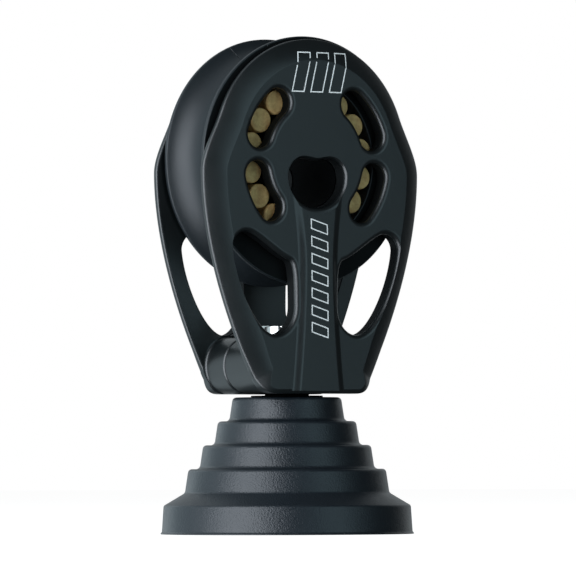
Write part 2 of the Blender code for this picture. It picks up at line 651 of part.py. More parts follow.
def make_base_plate():
    """Round plate with deck holes and two upright lugs that carry the fore-and-aft pin."""
    bm = rod(0.0, PLATE_THICKNESS, PLATE_RADIUS, (0, 0, 1), BOOT_SEGMENTS)
    obj = add_object("base_plate", bm, "steel")
    low = PLATE_THICKNESS / 2.0
    for side in (-1, 1):
        outline = tongue(LUG_HALF_WIDTH, low, FORE_PIN_HEIGHT)
        ends = (side * (TOGGLE_HALF_WIDTH + RUNNING_GAP), side * FORE_REACH)
        rings = [[Vector((x, y, z)) for y, z in outline] for x in ends]
        label = "lug_right" if side > 0 else "lug_left"
        combine(obj, cutter(label, loft(bmesh.new(), rings)), "UNION")
    bore = rod(-FORE_REACH - CUT_OVERRUN, FORE_REACH + CUT_OVERRUN, PIN_RADIUS + RUNNING_GAP, (1, 0, 0),
               ROUND_SEGMENTS, (0, 0, FORE_PIN_HEIGHT))
    combine(obj, cutter("lug_bore", bore), "DIFFERENCE")
    for i in range(DECK_HOLE_COUNT):
        angle = math.pi / 4.0 + 2.0 * math.pi * i / DECK_HOLE_COUNT
        centre = Vector((math.cos(angle), math.sin(angle), 0.0)) * DECK_HOLE_PITCH_RADIUS
        hole = rod(-CUT_OVERRUN, PLATE_THICKNESS + CUT_OVERRUN, DECK_HOLE_RADIUS, (0, 0, 1), 16, centre)
        combine(obj, cutter("deck_hole_" + str(i + 1), hole), "DIFFERENCE")
    return obj


def make_pin(name, axis, height, parent):
    """Headed pin through the lugs or the fork, with its retaining clip at the plain end."""
    seat = FORE_REACH + RUNNING_GAP
    clip_far = seat + CLIP_THICKNESS
    head_far = seat + PIN_HEAD_HEIGHT
    profile = [(0.0, -head_far), (PIN_HEAD_RADIUS, -head_far), (PIN_HEAD_RADIUS, -seat)]
    profile += [(PIN_RADIUS, -seat), (PIN_RADIUS, clip_far + PIN_END), (0.0, clip_far + PIN_END)]
    centre = (0.0, 0.0, height)
    bm = turn(bmesh.new(), profile, axis, centre, 16, False)
    add_object(name, bm, "steel", centre, parent)
    inner = PIN_RADIUS + RUNNING_GAP
    ring = [(inner, seat), (CLIP_RADIUS, seat), (CLIP_RADIUS, clip_far), (inner, clip_far)]
    bm = turn(bmesh.new(), ring, axis, centre, 16, True)
    add_object(name + "_clip", bm, "steel", centre, parent)


def make_toggle(parent):
    """Crossed link: round below about the lower pin and round above about the upper one."""
    half = TOGGLE_HALF_WIDTH
    low = FORE_PIN_HEIGHT - half
    high = SIDE_PIN_HEIGHT + half
    lower = tongue(half, high, FORE_PIN_HEIGHT)
    rings = [[Vector((x, y, z)) for y, z in lower] for x in (-half, half)]
    obj = add_object("toggle", loft(bmesh.new(), rings), "steel", (0, 0, FORE_PIN_HEIGHT), parent)
    upper = tongue(half, low - CUT_OVERRUN, SIDE_PIN_HEIGHT)
    rings = [[Vector((x, y, z)) for x, z in upper] for y in (-half - CUT_OVERRUN, half + CUT_OVERRUN)]
    combine(obj, cutter("toggle_head_form", loft(bmesh.new(), rings)), "INTERSECT")
    reach = half + CUT_OVERRUN
    for label, axis, height in (("fore", (1, 0, 0), FORE_PIN_HEIGHT), ("side", (0, 1, 0), SIDE_PIN_HEIGHT)):
        bore = rod(-reach, reach, PIN_RADIUS + RUNNING_GAP, axis, 16, (0, 0, height))
        combine(obj, cutter("toggle_" + label + "_bore", bore), "DIFFERENCE")
    return obj


def make_post(parent):
    """Swivel post: a fork over the toggle, a round collar and the spindle for the head."""
    profile = [(0.0, FORK_ROOF), (COLLAR_RADIUS, FORK_ROOF), (COLLAR_RADIUS, COLLAR_TOP)]
    profile += [(SPINDLE_RADIUS, COLLAR_TOP), (SPINDLE_RADIUS, SPINDLE_TOP), (0.0, SPINDLE_TOP)]
    bm = turn(bmesh.new(), profile, (0, 0, 1), (0, 0, 0), 28, False)
    obj = add_object("swivel_post", bm, "black_steel", (0, 0, SIDE_PIN_HEIGHT), parent)
    inner = TOGGLE_HALF_WIDTH + RUNNING_GAP
    for side in (-1, 1):
        outline = tongue(LUG_HALF_WIDTH, FORK_ROOF + CUT_OVERRUN, SIDE_PIN_HEIGHT)
        ends = (side * inner, side * FORE_REACH)
        rings = [[Vector((x, y, z)) for x, z in outline] for y in ends]
        label = "fork_ear_rear" if side > 0 else "fork_ear_front"
        combine(obj, cutter(label, loft(bmesh.new(), rings)), "UNION")
    bore = rod(-FORE_REACH - CUT_OVERRUN, FORE_REACH + CUT_OVERRUN, PIN_RADIUS + RUNNING_GAP, (0, 1, 0),
               16, (0, 0, SIDE_PIN_HEIGHT))
    combine(obj, cutter("fork_bore", bore), "DIFFERENCE")
    return obj


def make_nut(parent):
    """Low polished nut that holds the head on the spindle."""
    inner = SPINDLE_RADIUS + RUNNING_GAP
    top = NUT_BASE + NUT_HEIGHT
    ring = [(inner, NUT_BASE), (NUT_RADIUS, NUT_BASE), (NUT_RADIUS, top - NUT_CHAMFER)]
    ring += [(NUT_RADIUS - NUT_CHAMFER, top), (inner, top)]
    bm = turn(bmesh.new(), ring, (0, 0, 1), (0, 0, 0), 24, True)
    return add_object("swivel_nut", bm, "steel", (0, 0, NUT_BASE), parent)


def build():
    clear_scene()
    make_base_plate()
    make_boot()
    fore_pivot = add_pivot("fore_tilt_pivot", (0, 0, FORE_PIN_HEIGHT))
    make_pin("fore_pin", (1, 0, 0), FORE_PIN_HEIGHT, None)
    make_toggle(fore_pivot)
    side_pivot = add_pivot("side_tilt_pivot", (0, 0, SIDE_PIN_HEIGHT), fore_pivot)
    make_pin("side_pin", (0, 1, 0), SIDE_PIN_HEIGHT, fore_pivot)
    make_post(side_pivot)
    make_nut(side_pivot)
    swivel = add_pivot("swivel_pivot", (0, 0, HEAD_FOOT), side_pivot)
    cheek("front_cheek", -1, swivel)
    cheek("rear_cheek", 1, swivel)
    make_hub(swivel)
    make_screws(swivel)
    sheave_pivot = add_pivot("sheave_pivot", AXIS, swivel)
    make_sheave(sheave_pivot)
    roller_pivot = add_pivot("roller_ring_pivot", AXIS, swivel)
    make_rollers(roller_pivot)


build()
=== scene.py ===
# %% [markdown]
# # A stand-up block for a sailing boat
# The block is a grooved wheel between two black metal cheeks. It stands on a stepped rubber boot that
# lets it lean and swivel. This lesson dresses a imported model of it: the sizes and the moving bodies
# come from the frame, and each cell below adds one piece or one finish. The frame comes first, because
# every later piece is placed by it.

# %% The frame
import math

import bmesh
import bpy
from mathutils import Matrix, Vector
from mathutils.bvhtree import BVHTree
from mathutils.geometry import interpolate_bezier


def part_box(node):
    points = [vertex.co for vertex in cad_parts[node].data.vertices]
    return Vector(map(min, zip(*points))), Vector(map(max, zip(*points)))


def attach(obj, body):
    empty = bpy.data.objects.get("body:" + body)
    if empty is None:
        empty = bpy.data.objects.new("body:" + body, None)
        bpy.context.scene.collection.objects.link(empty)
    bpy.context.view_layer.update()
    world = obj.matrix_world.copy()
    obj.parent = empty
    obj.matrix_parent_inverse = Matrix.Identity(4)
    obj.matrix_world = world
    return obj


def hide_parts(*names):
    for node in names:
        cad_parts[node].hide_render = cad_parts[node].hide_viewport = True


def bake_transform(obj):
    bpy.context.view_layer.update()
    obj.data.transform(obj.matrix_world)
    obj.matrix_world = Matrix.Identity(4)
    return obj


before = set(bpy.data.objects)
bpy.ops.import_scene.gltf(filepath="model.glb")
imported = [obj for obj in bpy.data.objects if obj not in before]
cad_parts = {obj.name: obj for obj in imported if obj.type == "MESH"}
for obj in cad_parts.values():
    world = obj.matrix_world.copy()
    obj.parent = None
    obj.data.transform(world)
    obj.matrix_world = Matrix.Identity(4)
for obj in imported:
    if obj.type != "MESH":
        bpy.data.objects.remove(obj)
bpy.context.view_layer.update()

MM = 0.001

# %% [markdown]
# ## The camera
# The photograph was taken with a long lens from low down and from the left, so the front cheek is seen
# at an angle and the boot's steps show almost no tops. A long lens far away keeps upright lines
# upright. The camera's axes are built by hand here, because a heading, a pitch and a roll are easier to
# match to a picture than a rotation in the viewport.

# %% Camera
CAMERA_HEADING = math.radians(35.378)
CAMERA_PITCH = math.radians(1.425)
CAMERA_ROLL = math.radians(-0.165)
CAMERA_DISTANCE = 1.3
AIM = Vector((0.0, 0.0, 44.5 * MM))
LENS = 448.9
SHIFT_X = 0.0025

forward = Vector((math.sin(CAMERA_HEADING) * math.cos(CAMERA_PITCH),
                  math.cos(CAMERA_HEADING) * math.cos(CAMERA_PITCH),
                  math.sin(CAMERA_PITCH)))
right = Vector((math.cos(CAMERA_HEADING), -math.sin(CAMERA_HEADING), 0.0))
right = Matrix.Rotation(-CAMERA_ROLL, 3, forward) @ right
up = right.cross(forward)
camera = bpy.data.objects.new("camera", bpy.data.cameras.new("camera"))
bpy.context.scene.collection.objects.link(camera)
camera.matrix_world = Matrix.Translation(AIM - CAMERA_DISTANCE * forward) @ Matrix(
    (right, up, -forward)).transposed().to_4x4()
camera.data.lens = LENS
camera.data.shift_x = SHIFT_X
camera.data.clip_start = 0.05
bpy.context.scene.camera = camera
print("camera stands at", [round(v, 3) for v in camera.matrix_world.translation])

# %% [markdown]
# ## Colours and nodes
# A few small helpers carry every finish below. Colours are picked as sRGB hex values, as any paint
# program shows them, but Blender's sockets want linear light, so one function converts them. Another
# adds a node, sets it up and links it, which keeps a material readable from top to bottom.

# %% Colour and node helpers
def linear(hex_colour):
    """Turn an sRGB hex colour into the linear values that a socket wants."""
    channels = [int(hex_colour[i:i + 2], 16) / 255.0 for i in (1, 3, 5)]
    return [c / 12.92 if c <= 0.04045 else ((c + 0.055) / 1.055) ** 2.4 for c in channels] + [1.0]


def add_node(tree, kind, inputs=None, **settings):
    """Add a node. inputs maps a socket to a plain value, or to another node's output."""
    made = tree.nodes.new(kind)
    for name, value in settings.items():
        setattr(made, name, value)
    for socket, value in (inputs or {}).items():
        if isinstance(value, bpy.types.NodeSocket):
            tree.links.new(value, made.inputs[socket])
        else:
            made.inputs[socket].default_value = value
    return made


def new_material(name):
    """A new material and its empty node tree."""
    material = bpy.data.materials.new(name)
    material.use_nodes = True
    material.node_tree.nodes.clear()
    return material, material.node_tree


def surface(tree, inputs):
    """The one shader of a material, linked to its output."""
    shader = add_node(tree, "ShaderNodeBsdfPrincipled", inputs)
    add_node(tree, "ShaderNodeOutputMaterial", {"Surface": shader.outputs[0]})


# %% [markdown]
# ## The studio
# The photograph is a product shot cut out on white: no floor line and hardly any shadow. A white dome
# that only the camera sees gives that ground without flooding a black object with light. The floor is
# pale and nearly as bright, so it keeps a faint contact shadow.
#
# The light itself is read from the boot, which works as a mirror for directions. It is bright from its
# left edge to just short of the middle, dark in the middle and a little lighter again right of it. So
# the key is a tall soft lamp on the left. It goes on below the floor, where it does the work of its own
# reflection in the studio's glossy table. Four dim lamps fill what it leaves: a wide one further left, a
# small one on the right, one overhead and one like a wall behind, which lights the thin edges.

# %% Studio
scene = bpy.context.scene
scene.view_settings.view_transform = "Standard"
world = bpy.data.worlds.new("dim_room")
world.use_nodes = True
world.node_tree.nodes["Background"].inputs["Color"].default_value = linear("#c9d6dc")
world.node_tree.nodes["Background"].inputs["Strength"].default_value = 0.08
scene.world = world

FLOOR_RADIUS = 2.5
DOME_RADIUS = 4.0
FLOOR_DROP = 0.02 * MM


def glowing(name, glow, albedo):
    """A plain white paper: part of its brightness is its own, the rest comes from the lamps."""
    material, tree = new_material(name)
    surface(tree, {
        "Base Color": linear(albedo), "Roughness": 0.9, "Specular IOR Level": 0.0,
        "Emission Color": linear("#ffffff"), "Emission Strength": glow})
    return material


def stage_piece(name, bm, material):
    """A surface that the camera sees but that neither lights nor shades the block."""
    mesh = bpy.data.meshes.new(name)
    bm.to_mesh(mesh)
    bm.free()
    obj = bpy.data.objects.new(name, mesh)
    mesh.materials.append(material)
    scene.collection.objects.link(obj)
    obj.visible_diffuse = False
    obj.visible_glossy = False
    obj.visible_shadow = False


floor_mesh = bmesh.new()
bmesh.ops.create_circle(floor_mesh, cap_ends=True, segments=96, radius=FLOOR_RADIUS,
                        matrix=Matrix.Translation((0.0, 0.0, -FLOOR_DROP)))
stage_piece("floor", floor_mesh, glowing("floor_paper", 0.97, "#6c6f70"))
dome_mesh = bmesh.new()
bmesh.ops.create_uvsphere(dome_mesh, u_segments=48, v_segments=24, radius=DOME_RADIUS)
stage_piece("dome", dome_mesh, glowing("dome_paper", 1.0, "#000000"))

# Turn and rise in degrees from the camera's own direction, then distance, width and height in metres,
# radiance and colour.
LAMPS = {
    "key_lamp": (-44.5, -2.0, 0.8, 0.84, 1.6, 4.4, "#eef6ff"),
    "left_fill": (-114.0, -4.0, 0.8, 1.35, 1.4, 0.8, "#e2f6fe"),
    "right_fill": (47.0, 8.0, 0.8, 0.58, 0.9, 1.0, "#cceffb"),
    "overhead": (-130.0, 67.0, 0.9, 1.1, 0.9, 0.55, "#e6f4fc"),
    "back_wall": (180.0, 8.0, 0.9, 1.7, 1.1, 0.5, "#f2fbff"),
}


def softbox(name, turn, rise, distance, width, height, radiance, colour):
    """A rectangular lamp that looks at the block."""
    lamp = bpy.data.lights.new(name, "AREA")
    lamp.shape = "RECTANGLE"
    lamp.size = width
    lamp.size_y = height
    lamp.energy = radiance * math.pi * width * height
    lamp.color = linear(colour)[:3]
    obj = bpy.data.objects.new(name, lamp)
    scene.collection.objects.link(obj)
    bearing = math.radians(turn) - CAMERA_HEADING
    lift = math.radians(rise)
    level = math.cos(lift)
    way = Vector((math.sin(bearing) * level, -math.cos(bearing) * level, math.sin(lift)))
    obj.location = AIM + way * distance
    obj.rotation_euler = (-way).to_track_quat("-Z", "Y").to_euler()


for lamp_name, lamp_settings in LAMPS.items():
    softbox(lamp_name, *lamp_settings)

# %% [markdown]
# ## Black anodised aluminium and black acetal
# The cheeks are aluminium, blasted with fine grit, etched and then anodised: a hard clear oxide that
# holds black dye. The eye sees a satin black with a cool cast. The oxide is sapphire, so its IOR is
# higher than plastic's, about 1.7, and the metal below no longer shows, so metallic is 0. The blasting
# leaves dimples of about 0.05 mm, too fine to show at this distance, so they are drawn at 0.25 mm.
#
# The walls of the openings are milled and lie in the plate's shade. They get a darker, duller copy of
# the anodising with a low IOR: painted shade. The sheave is moulded in black acetal, a plastic with an
# IOR of about 1.5. Its flat sides lie in the shade between the cheeks and get the same painted shade.

# %% Black finishes
def place(tree):
    """The piece's own coordinates in metres, which stay with it when it moves."""
    return add_node(tree, "ShaderNodeTexCoord").outputs["Object"]


def noise(tree, where, size_mm, detail, roughness=0.5):
    """A cloudy pattern with patches of this size."""
    return add_node(tree, "ShaderNodeTexNoise", {
        "Vector": where, "Scale": 1.0 / (size_mm * MM), "Detail": detail,
        "Roughness": roughness}).outputs["Fac"]


def two_tone(tree, pattern, one, two):
    """A colour that wanders between two close ones."""
    return add_node(tree, "ShaderNodeMix", {
        0: pattern, 6: linear(one), 7: linear(two)}, data_type="RGBA").outputs[2]


def uneven(tree, pattern, low, high, start=0.3, end=0.7):
    """A value that wanders from low to high while the pattern goes from start to end."""
    return add_node(tree, "ShaderNodeMapRange", {
        "Value": pattern, "From Min": start, "From Max": end, "To Min": low,
        "To Max": high}).outputs["Result"]


def relief(tree, pattern, depth_mm):
    return add_node(tree, "ShaderNodeBump", {
        "Height": pattern, "Distance": depth_mm * MM, "Strength": 1.0}).outputs["Normal"]


def black_finish(name, deep, worn, sheen, grain_mm, depth_mm, ior=1.7):
    """Two close blacks, an uneven sheen and a fine grain."""
    material, tree = new_material(name)
    where = place(tree)
    cloud = noise(tree, where, 7.0, 3.0, 0.6)
    grit = noise(tree, where, grain_mm, 2.0)
    surface(tree, {
        "Base Color": two_tone(tree, cloud, deep, worn), "Roughness": uneven(tree, cloud, *sheen),
        "IOR": ior, "Metallic": 0.0, "Normal": relief(tree, grit, depth_mm)})
    return material


black_anodised = black_finish("black_anodised", "#070c0d", "#0a1011", (0.33, 0.39), 0.25, 0.007)
# A darker, duller copy of the anodising: painted shade for the opening walls and the sheave's sides.
painted_shade_finish = black_finish("black_anodised_painted_shade", "#030506", "#050809", (0.6, 0.7), 0.25, 0.01, 1.25)
black_acetal = black_finish("black_acetal", "#12181b", "#171d21", (0.42, 0.48), 0.5, 0.003, 1.5)
print("made", black_anodised.name, painted_shade_finish.name, black_acetal.name)

# %% [markdown]
# ## Black oxide steel, polished stainless and turned stainless
# The screws are steel with a thin black oxide, which shines about as much as the cheeks. The hub sleeve
# and the post are black oxide too, drawn nearly black, rough and with a low IOR: painted shade, which
# keeps the lashing hole as dark as the shade in it. The nut on top of the post is polished stainless, a
# real metal, so metallic is 1 and the IOR stays at its default. The parts under the boot are plain
# turned stainless, where the tool leaves rings that spread the light.

# %% Steels
def stainless(name, sheen, ring_mm, ring_depth_mm):
    """Bare stainless steel with the fine marks of its last tool, six times finer along the axis."""
    material, tree = new_material(name)
    stretch = add_node(tree, "ShaderNodeMapping", {"Vector": place(tree), "Scale": (1.0, 1.0, 6.0)})
    marks = noise(tree, stretch.outputs[0], ring_mm, 2.0)
    surface(tree, {
        "Base Color": linear("#cfd1cf"), "Metallic": 1.0,
        "Roughness": uneven(tree, marks, *sheen, 0.0, 1.0), "Normal": relief(tree, marks, ring_depth_mm)})
    return material


black_oxide = black_finish("black_oxide_steel", "#0b0e10", "#101416", (0.34, 0.42), 0.4, 0.003)
# Nearly black, rough, with a low IOR: painted shade for the hub and the post.
dark_oxide_painted_shade = black_finish("rough_oxide_with_painted_shade", "#010203", "#020304", (0.8, 0.9), 0.4, 0.004, 1.15)
polished_stainless = stainless("polished_stainless", (0.08, 0.16), 1.2, 0.0008)
turned_stainless = stainless("turned_stainless", (0.28, 0.40), 0.6, 0.003)
print("made", black_oxide.name, dark_oxide_painted_shade.name, polished_stainless.name, turned_stainless.name)

# %% [markdown]
# ## Bearing plastic
# The rollers are a hard golden brown bearing plastic, turned from rod. Their faces show a slightly
# lighter skin with darker clouds, matt from the tool, and no gloss. The IOR is 1.5, as for most
# plastics.

# %% Bearing plastic
def bearing_plastic():
    material, tree = new_material("bearing_plastic")
    cloud = noise(tree, place(tree), 1.6, 3.0, 0.65)
    tone = add_node(tree, "ShaderNodeValToRGB", {"Fac": cloud})
    for stop, position, colour in zip(tone.color_ramp.elements, (0.32, 0.68), ("#c0925a", "#ecca86")):
        stop.position = position
        stop.color = linear(colour)
    surface(tree, {
        "Base Color": tone.outputs["Color"], "Roughness": 0.7, "IOR": 1.5,
        "Normal": relief(tree, cloud, 0.02)})
    return material


golden_plastic = bearing_plastic()
print("made", golden_plastic.name)

# %% [markdown]
# ## Moulded rubber
# The boot is black rubber from a spark-eroded mould, whose pits leave a fine leathery grain, about
# 0.27 mm from one to the next. It is darker than it looks: nearly all that the eye sees is the soft
# sheen of that grain, which breaks up where the light ends. Rubber's IOR is about 1.52.

# %% Moulded rubber
def moulded_rubber():
    material, tree = new_material("moulded_rubber")
    where = place(tree)
    pits = noise(tree, where, 0.27, 1.5)
    bloom = noise(tree, where, 9.0, 3.0, 0.6)
    surface(tree, {
        "Base Color": two_tone(tree, bloom, "#12181d", "#171e24"),
        "Roughness": uneven(tree, bloom, 0.33, 0.39), "IOR": 1.52, "Normal": relief(tree, pits, 0.075)})
    return material


rubber = moulded_rubber()
print("made", rubber.name)

# %% [markdown]
# ## Laser-etched white
# Makers mark black anodising with a laser, which burns the dye out and leaves a thin pale line. The
# burnt oxide is chalky. A weak glow adds painted light, so the lines look equally bright from every side.
# Here the marks are a plain ornament of outlined bars.

# %% Etched white
def etched_white_painted_glow():
    material, tree = new_material("etched_white_painted_glow")
    tone = two_tone(tree, noise(tree, place(tree), 0.3, 1.0), "#c6cccc", "#f2f6f6")
    # The emission is painted light: the lines glow a little of themselves.
    surface(tree, {
        "Base Color": tone, "Roughness": 0.7, "Specular IOR Level": 0.2, "Emission Color": tone,
        "Emission Strength": 0.27})
    return material


white_mark_painted_glow = etched_white_painted_glow()
print("made", white_mark_painted_glow.name)

# %% [markdown]
# ## Turned pieces
# Most of the block is round: sheave, hub, rollers, screws, nut and boot. Each is a section spun about
# an axis, as on a lathe. A real edge is never sharp, and its thin highlight is what makes a small part
# look real, so the section's corners are rounded by their own radii before it is spun.

# %% Lathe helpers
def rounded(corners, steps=4):
    """Round the corners of a section. Each corner is (radius from the axis, height, rounding)."""
    points = []
    count = len(corners)
    for i, (x, z, size) in enumerate(corners):
        here = Vector((x, z))
        to_last = Vector(corners[i - 1][:2]) - here
        to_next = Vector(corners[(i + 1) % count][:2]) - here
        if size == 0.0 or to_last.length == 0.0 or to_next.length == 0.0:
            points.append((x, z))
            continue
        to_last.normalize()
        to_next.normalize()
        half = math.acos(max(-1.0, min(1.0, to_last.dot(to_next)))) / 2.0
        reach = size / math.tan(half)
        middle = here + (to_last + to_next).normalized() * size / math.sin(half)
        start = here + to_last * reach - middle
        end = here + to_next * reach - middle
        swing = start.angle_signed(end)
        for step in range(steps + 1):
            spoke = start.copy()
            spoke.rotate(Matrix.Rotation(-swing * step / steps, 2))
            points.append(tuple(middle + spoke))
    return points


def finished(name, bm, material, sharp=35.0):
    """Make the object. Its faces are smooth but for edges that turn by more degrees than sharp."""
    bmesh.ops.recalc_face_normals(bm, faces=bm.faces[:])
    mesh = bpy.data.meshes.new(name)
    bm.to_mesh(mesh)
    bm.free()
    mesh.materials.append(material)
    mesh.shade_smooth()
    mesh.set_sharp_from_angle(angle=math.radians(sharp))
    obj = bpy.data.objects.new(name, mesh)
    scene.collection.objects.link(obj)
    return obj


def weigh_normals(obj):
    """Let the large faces rule the shading of the narrow ones beside them."""
    weigh = obj.modifiers.new("face_weights", "WEIGHTED_NORMAL")
    weigh.keep_sharp = True
    return obj


def skin(bm, rings):
    """Join each closed ring of points to the next with a band of four-sided faces."""
    for one, two in zip(rings, rings[1:]):
        for i in range(len(one)):
            j = (i + 1) % len(one)
            bm.faces.new((one[i], one[j], two[j], two[i]))


WELD = 1e-8
# Only what lies beyond this share of the radius sinks into a seam.
SEAM_FROM = 0.75


def spun(section, axis, centre, segments, seam=None):
    """Spin a closed section of (radius, along) points about an axis through the centre.

    A seam is (angle, half width in radians, depth): a fine notch in the outside, across the whole width.
    A section that touches the axis leaves loose edges there. They go, as they turn a Boolean inside out.
    """
    bm = bmesh.new()
    along = Vector(axis)
    across = Vector((0.0, 0.0, 1.0)) if abs(along.z) < 0.5 else Vector((1.0, 0.0, 0.0))
    side = along.cross(across)
    stations = [(2.0 * math.pi * step / segments, 0.0) for step in range(segments)]
    if seam:
        middle, half, depth = seam
        stations = [s for s in stations if abs(s[0] - middle) > 1.5 * half]
        stations = sorted(stations + [(middle - half, 0.0), (middle, depth), (middle + half, 0.0)])
    outside = max(r for r, a in section) * SEAM_FROM
    rows = []
    for angle, sunk in stations:
        spoke = across * math.cos(angle) + side * math.sin(angle)
        rows.append([bm.verts.new(centre + along * a + spoke * (r - sunk if r > outside else r))
                     for r, a in section])
    skin(bm, rows + rows[:1])
    bmesh.ops.remove_doubles(bm, verts=bm.verts[:], dist=WELD)
    bmesh.ops.dissolve_degenerate(bm, edges=bm.edges[:], dist=WELD / 10.0)
    on_axis = [edge for edge in bm.edges if not edge.link_faces]
    bmesh.ops.delete(bm, geom=on_axis, context="EDGES")
    bmesh.ops.recalc_face_normals(bm, faces=bm.faces[:])
    return bm


# %% [markdown]
# ## Sizes from the frame
# The frame's boxes give the sizes that the turned pieces share: the height of the sheave's axis, the
# radius and width of the wheel, the length of the rollers. What no box can tell, such as the depth of
# the rope groove, is named here in millimetres.

# %% Sizes
sheave_low, sheave_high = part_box("sheave")
AXIS_HEIGHT = (sheave_low.z + sheave_high.z) / 2.0
AXIS = Vector((0.0, 0.0, AXIS_HEIGHT))
SHEAVE_RADIUS = (sheave_high.z - sheave_low.z) / 2.0
SHEAVE_HALF = sheave_high.y
RACE_OUTER = 14.75 * MM
ROPE_GROOVE_DEPTH = 3.2 * MM
RIM_LAND = 0.75 * MM
EDGE_ROUND = 0.22 * MM
print("sheave radius {:.2f} mm, axis at {:.2f} mm".format(SHEAVE_RADIUS / MM, AXIS_HEIGHT / MM))

# %% [markdown]
# ## The sheave
# The rope runs in a groove with a round floor. The groove is an arc that starts just inside each rim,
# so the rims stay as narrow lands, and the arc's radius follows from its depth and its mouth. The two
# rims catch the left lamp as thin light lines. A moulding seam crosses the groove as a fine notch.

# %% Sheave
GROOVE_STEPS = 28
SHEAVE_SEGMENTS = 192
SEAM_ANGLE = math.radians(360.0 - 22.5)
SEAM_HALF_ANGLE = 0.1 * MM / SHEAVE_RADIUS
SEAM_DEPTH = 0.25 * MM
FLAT_SIDE = 0.97


def sheave_section():
    mouth = SHEAVE_HALF - RIM_LAND
    radius = (mouth ** 2 + ROPE_GROOVE_DEPTH ** 2) / (2.0 * ROPE_GROOVE_DEPTH)
    centre = SHEAVE_RADIUS - ROPE_GROOVE_DEPTH + radius
    spread = math.atan2(mouth, centre - SHEAVE_RADIUS)
    groove = []
    for i in range(GROOVE_STEPS + 1):
        angle = -spread + 2.0 * spread * i / GROOVE_STEPS
        rounding = EDGE_ROUND if i in (0, GROOVE_STEPS) else 0.0
        groove.append((centre - radius * math.cos(angle), radius * math.sin(angle), rounding))
    below = [(RACE_OUTER, -SHEAVE_HALF, EDGE_ROUND), (SHEAVE_RADIUS, -SHEAVE_HALF, EDGE_ROUND)]
    above = [(r, -y, size) for r, y, size in reversed(below)]
    return rounded(below + groove + above, 3)


sheave_shape = spun(sheave_section(), (0, 1, 0), AXIS, SHEAVE_SEGMENTS,
                    (SEAM_ANGLE, SEAM_HALF_ANGLE, SEAM_DEPTH))
sheave = weigh_normals(finished("sheave_wheel", sheave_shape, black_acetal))
# The flat sides take the second finish, which is painted shade.
sheave.data.materials.append(painted_shade_finish)
for face in sheave.data.polygons:
    face.material_index = 1 if abs(face.normal.y) > FLAT_SIDE else 0
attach(sheave, "sheave_wheel")
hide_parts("sheave")
print("sheave faces:", len(sheave.data.polygons))

# %% [markdown]
# ## The rollers
# Sixteen equal rollers fill the race. They show their ends through the slots of the cheek. Each is spun
# about its own place, which the frame's boxes give. Its ends are faced with a shallow dish.

# %% Rollers
roller_names = [name for name in sorted(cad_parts) if name.startswith("roller_")]
ROLLER_RADIUS = 2.2 * MM
ROLLER_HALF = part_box(roller_names[0])[1].y
ROLLER_ROUND = 0.35 * MM
ROLLER_SEGMENTS = 40
DISH_DEPTH = 0.1 * MM
DISH_RADIUS = 1.3 * MM
DISH_FLOOR_RADIUS = 0.6 * DISH_RADIUS
DISH_ROUND = 0.1 * MM


def roller_section():
    floor = ROLLER_HALF - DISH_DEPTH
    top = [(ROLLER_RADIUS, ROLLER_HALF, ROLLER_ROUND), (DISH_RADIUS, ROLLER_HALF, DISH_ROUND),
           (DISH_FLOOR_RADIUS, floor, 0.0), (0.0, floor, 0.0)]
    return rounded([(r, -y, size) for r, y, size in reversed(top)] + top, 4)


for name in roller_names:
    low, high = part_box(name)
    turned = spun(roller_section(), (0, 1, 0), (low + high) / 2.0, ROLLER_SEGMENTS)
    roller = weigh_normals(finished(name + "_turned", turned, golden_plastic))
    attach(roller, "roller_ring")
    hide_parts(name)
print("rollers:", len(roller_names))

# %% [markdown]
# ## Outlines of the cheek
# The cheek is a plate with a flowing outline: a round top, shoulders at the level of the axis and a
# long taper to a small foot. Drawn as a half and mirrored, it stays symmetric. Arcs give the round
# stretches and cubic curves the flowing ones, where the end points and pulls are real sizes. All
# heights here are counted from the sheave's axis.

# %% Cheek outlines
def arc(cx, cz, radius, start, end, steps):
    """Points on a circle from one angle to another, both ends included."""
    angles = [start + (end - start) * i / steps for i in range(steps + 1)]
    return [(cx + radius * math.cos(a), cz + radius * math.sin(a)) for a in angles]


def curve(p0, c0, c1, p1, steps):
    """A cubic from p0 to p1 with its two pull points, without the last point."""
    points = [Vector((*p, 0.0)) for p in (p0, c0, c1, p1)]
    return [(p.x, p.y) for p in interpolate_bezier(*points, steps + 1)[:-1]]


def mirrored(half):
    """Close a right-hand outline that runs from the top centre to the bottom centre."""
    return half + [(-x, z) for x, z in reversed(half) if x > 1e-9]


CHEEK_INNER = SHEAVE_HALF + 0.6 * MM
CHEEK_THICKNESS = 3.0 * MM
BEVEL_DEPTH = 2.0 * MM
CHEEK_FACE = CHEEK_INNER + CHEEK_THICKNESS
CHEEK_EDGE = CHEEK_FACE - BEVEL_DEPTH
SPINE_HEIGHT = 0.6 * MM
SPINE_FACE = CHEEK_FACE + SPINE_HEIGHT
HEAD_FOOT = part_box("front_cheek")[0].z
FOOT_DROP = AXIS_HEIGHT - HEAD_FOOT
TOP_RADIUS = 21.1 * MM
TOP_RISE = 0.8 * MM
FLARE_ANGLE = math.radians(21.4)
FLARE_PULL = 4.2 * MM
SHOULDER = (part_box("front_cheek")[1].x, -2.3 * MM)
SHOULDER_PULL_UP = 3.2 * MM
SHOULDER_PULL_DOWN = 11.7 * MM
FOOT_CORNER_RISE = 2.7 * MM
FOOT_CORNER = (12.8 * MM, -FOOT_DROP + FOOT_CORNER_RISE)
FOOT_FLAT = 8.8 * MM
FOOT_LEAN = 6.2 * MM
FOOT_PULL = 11.5 * MM


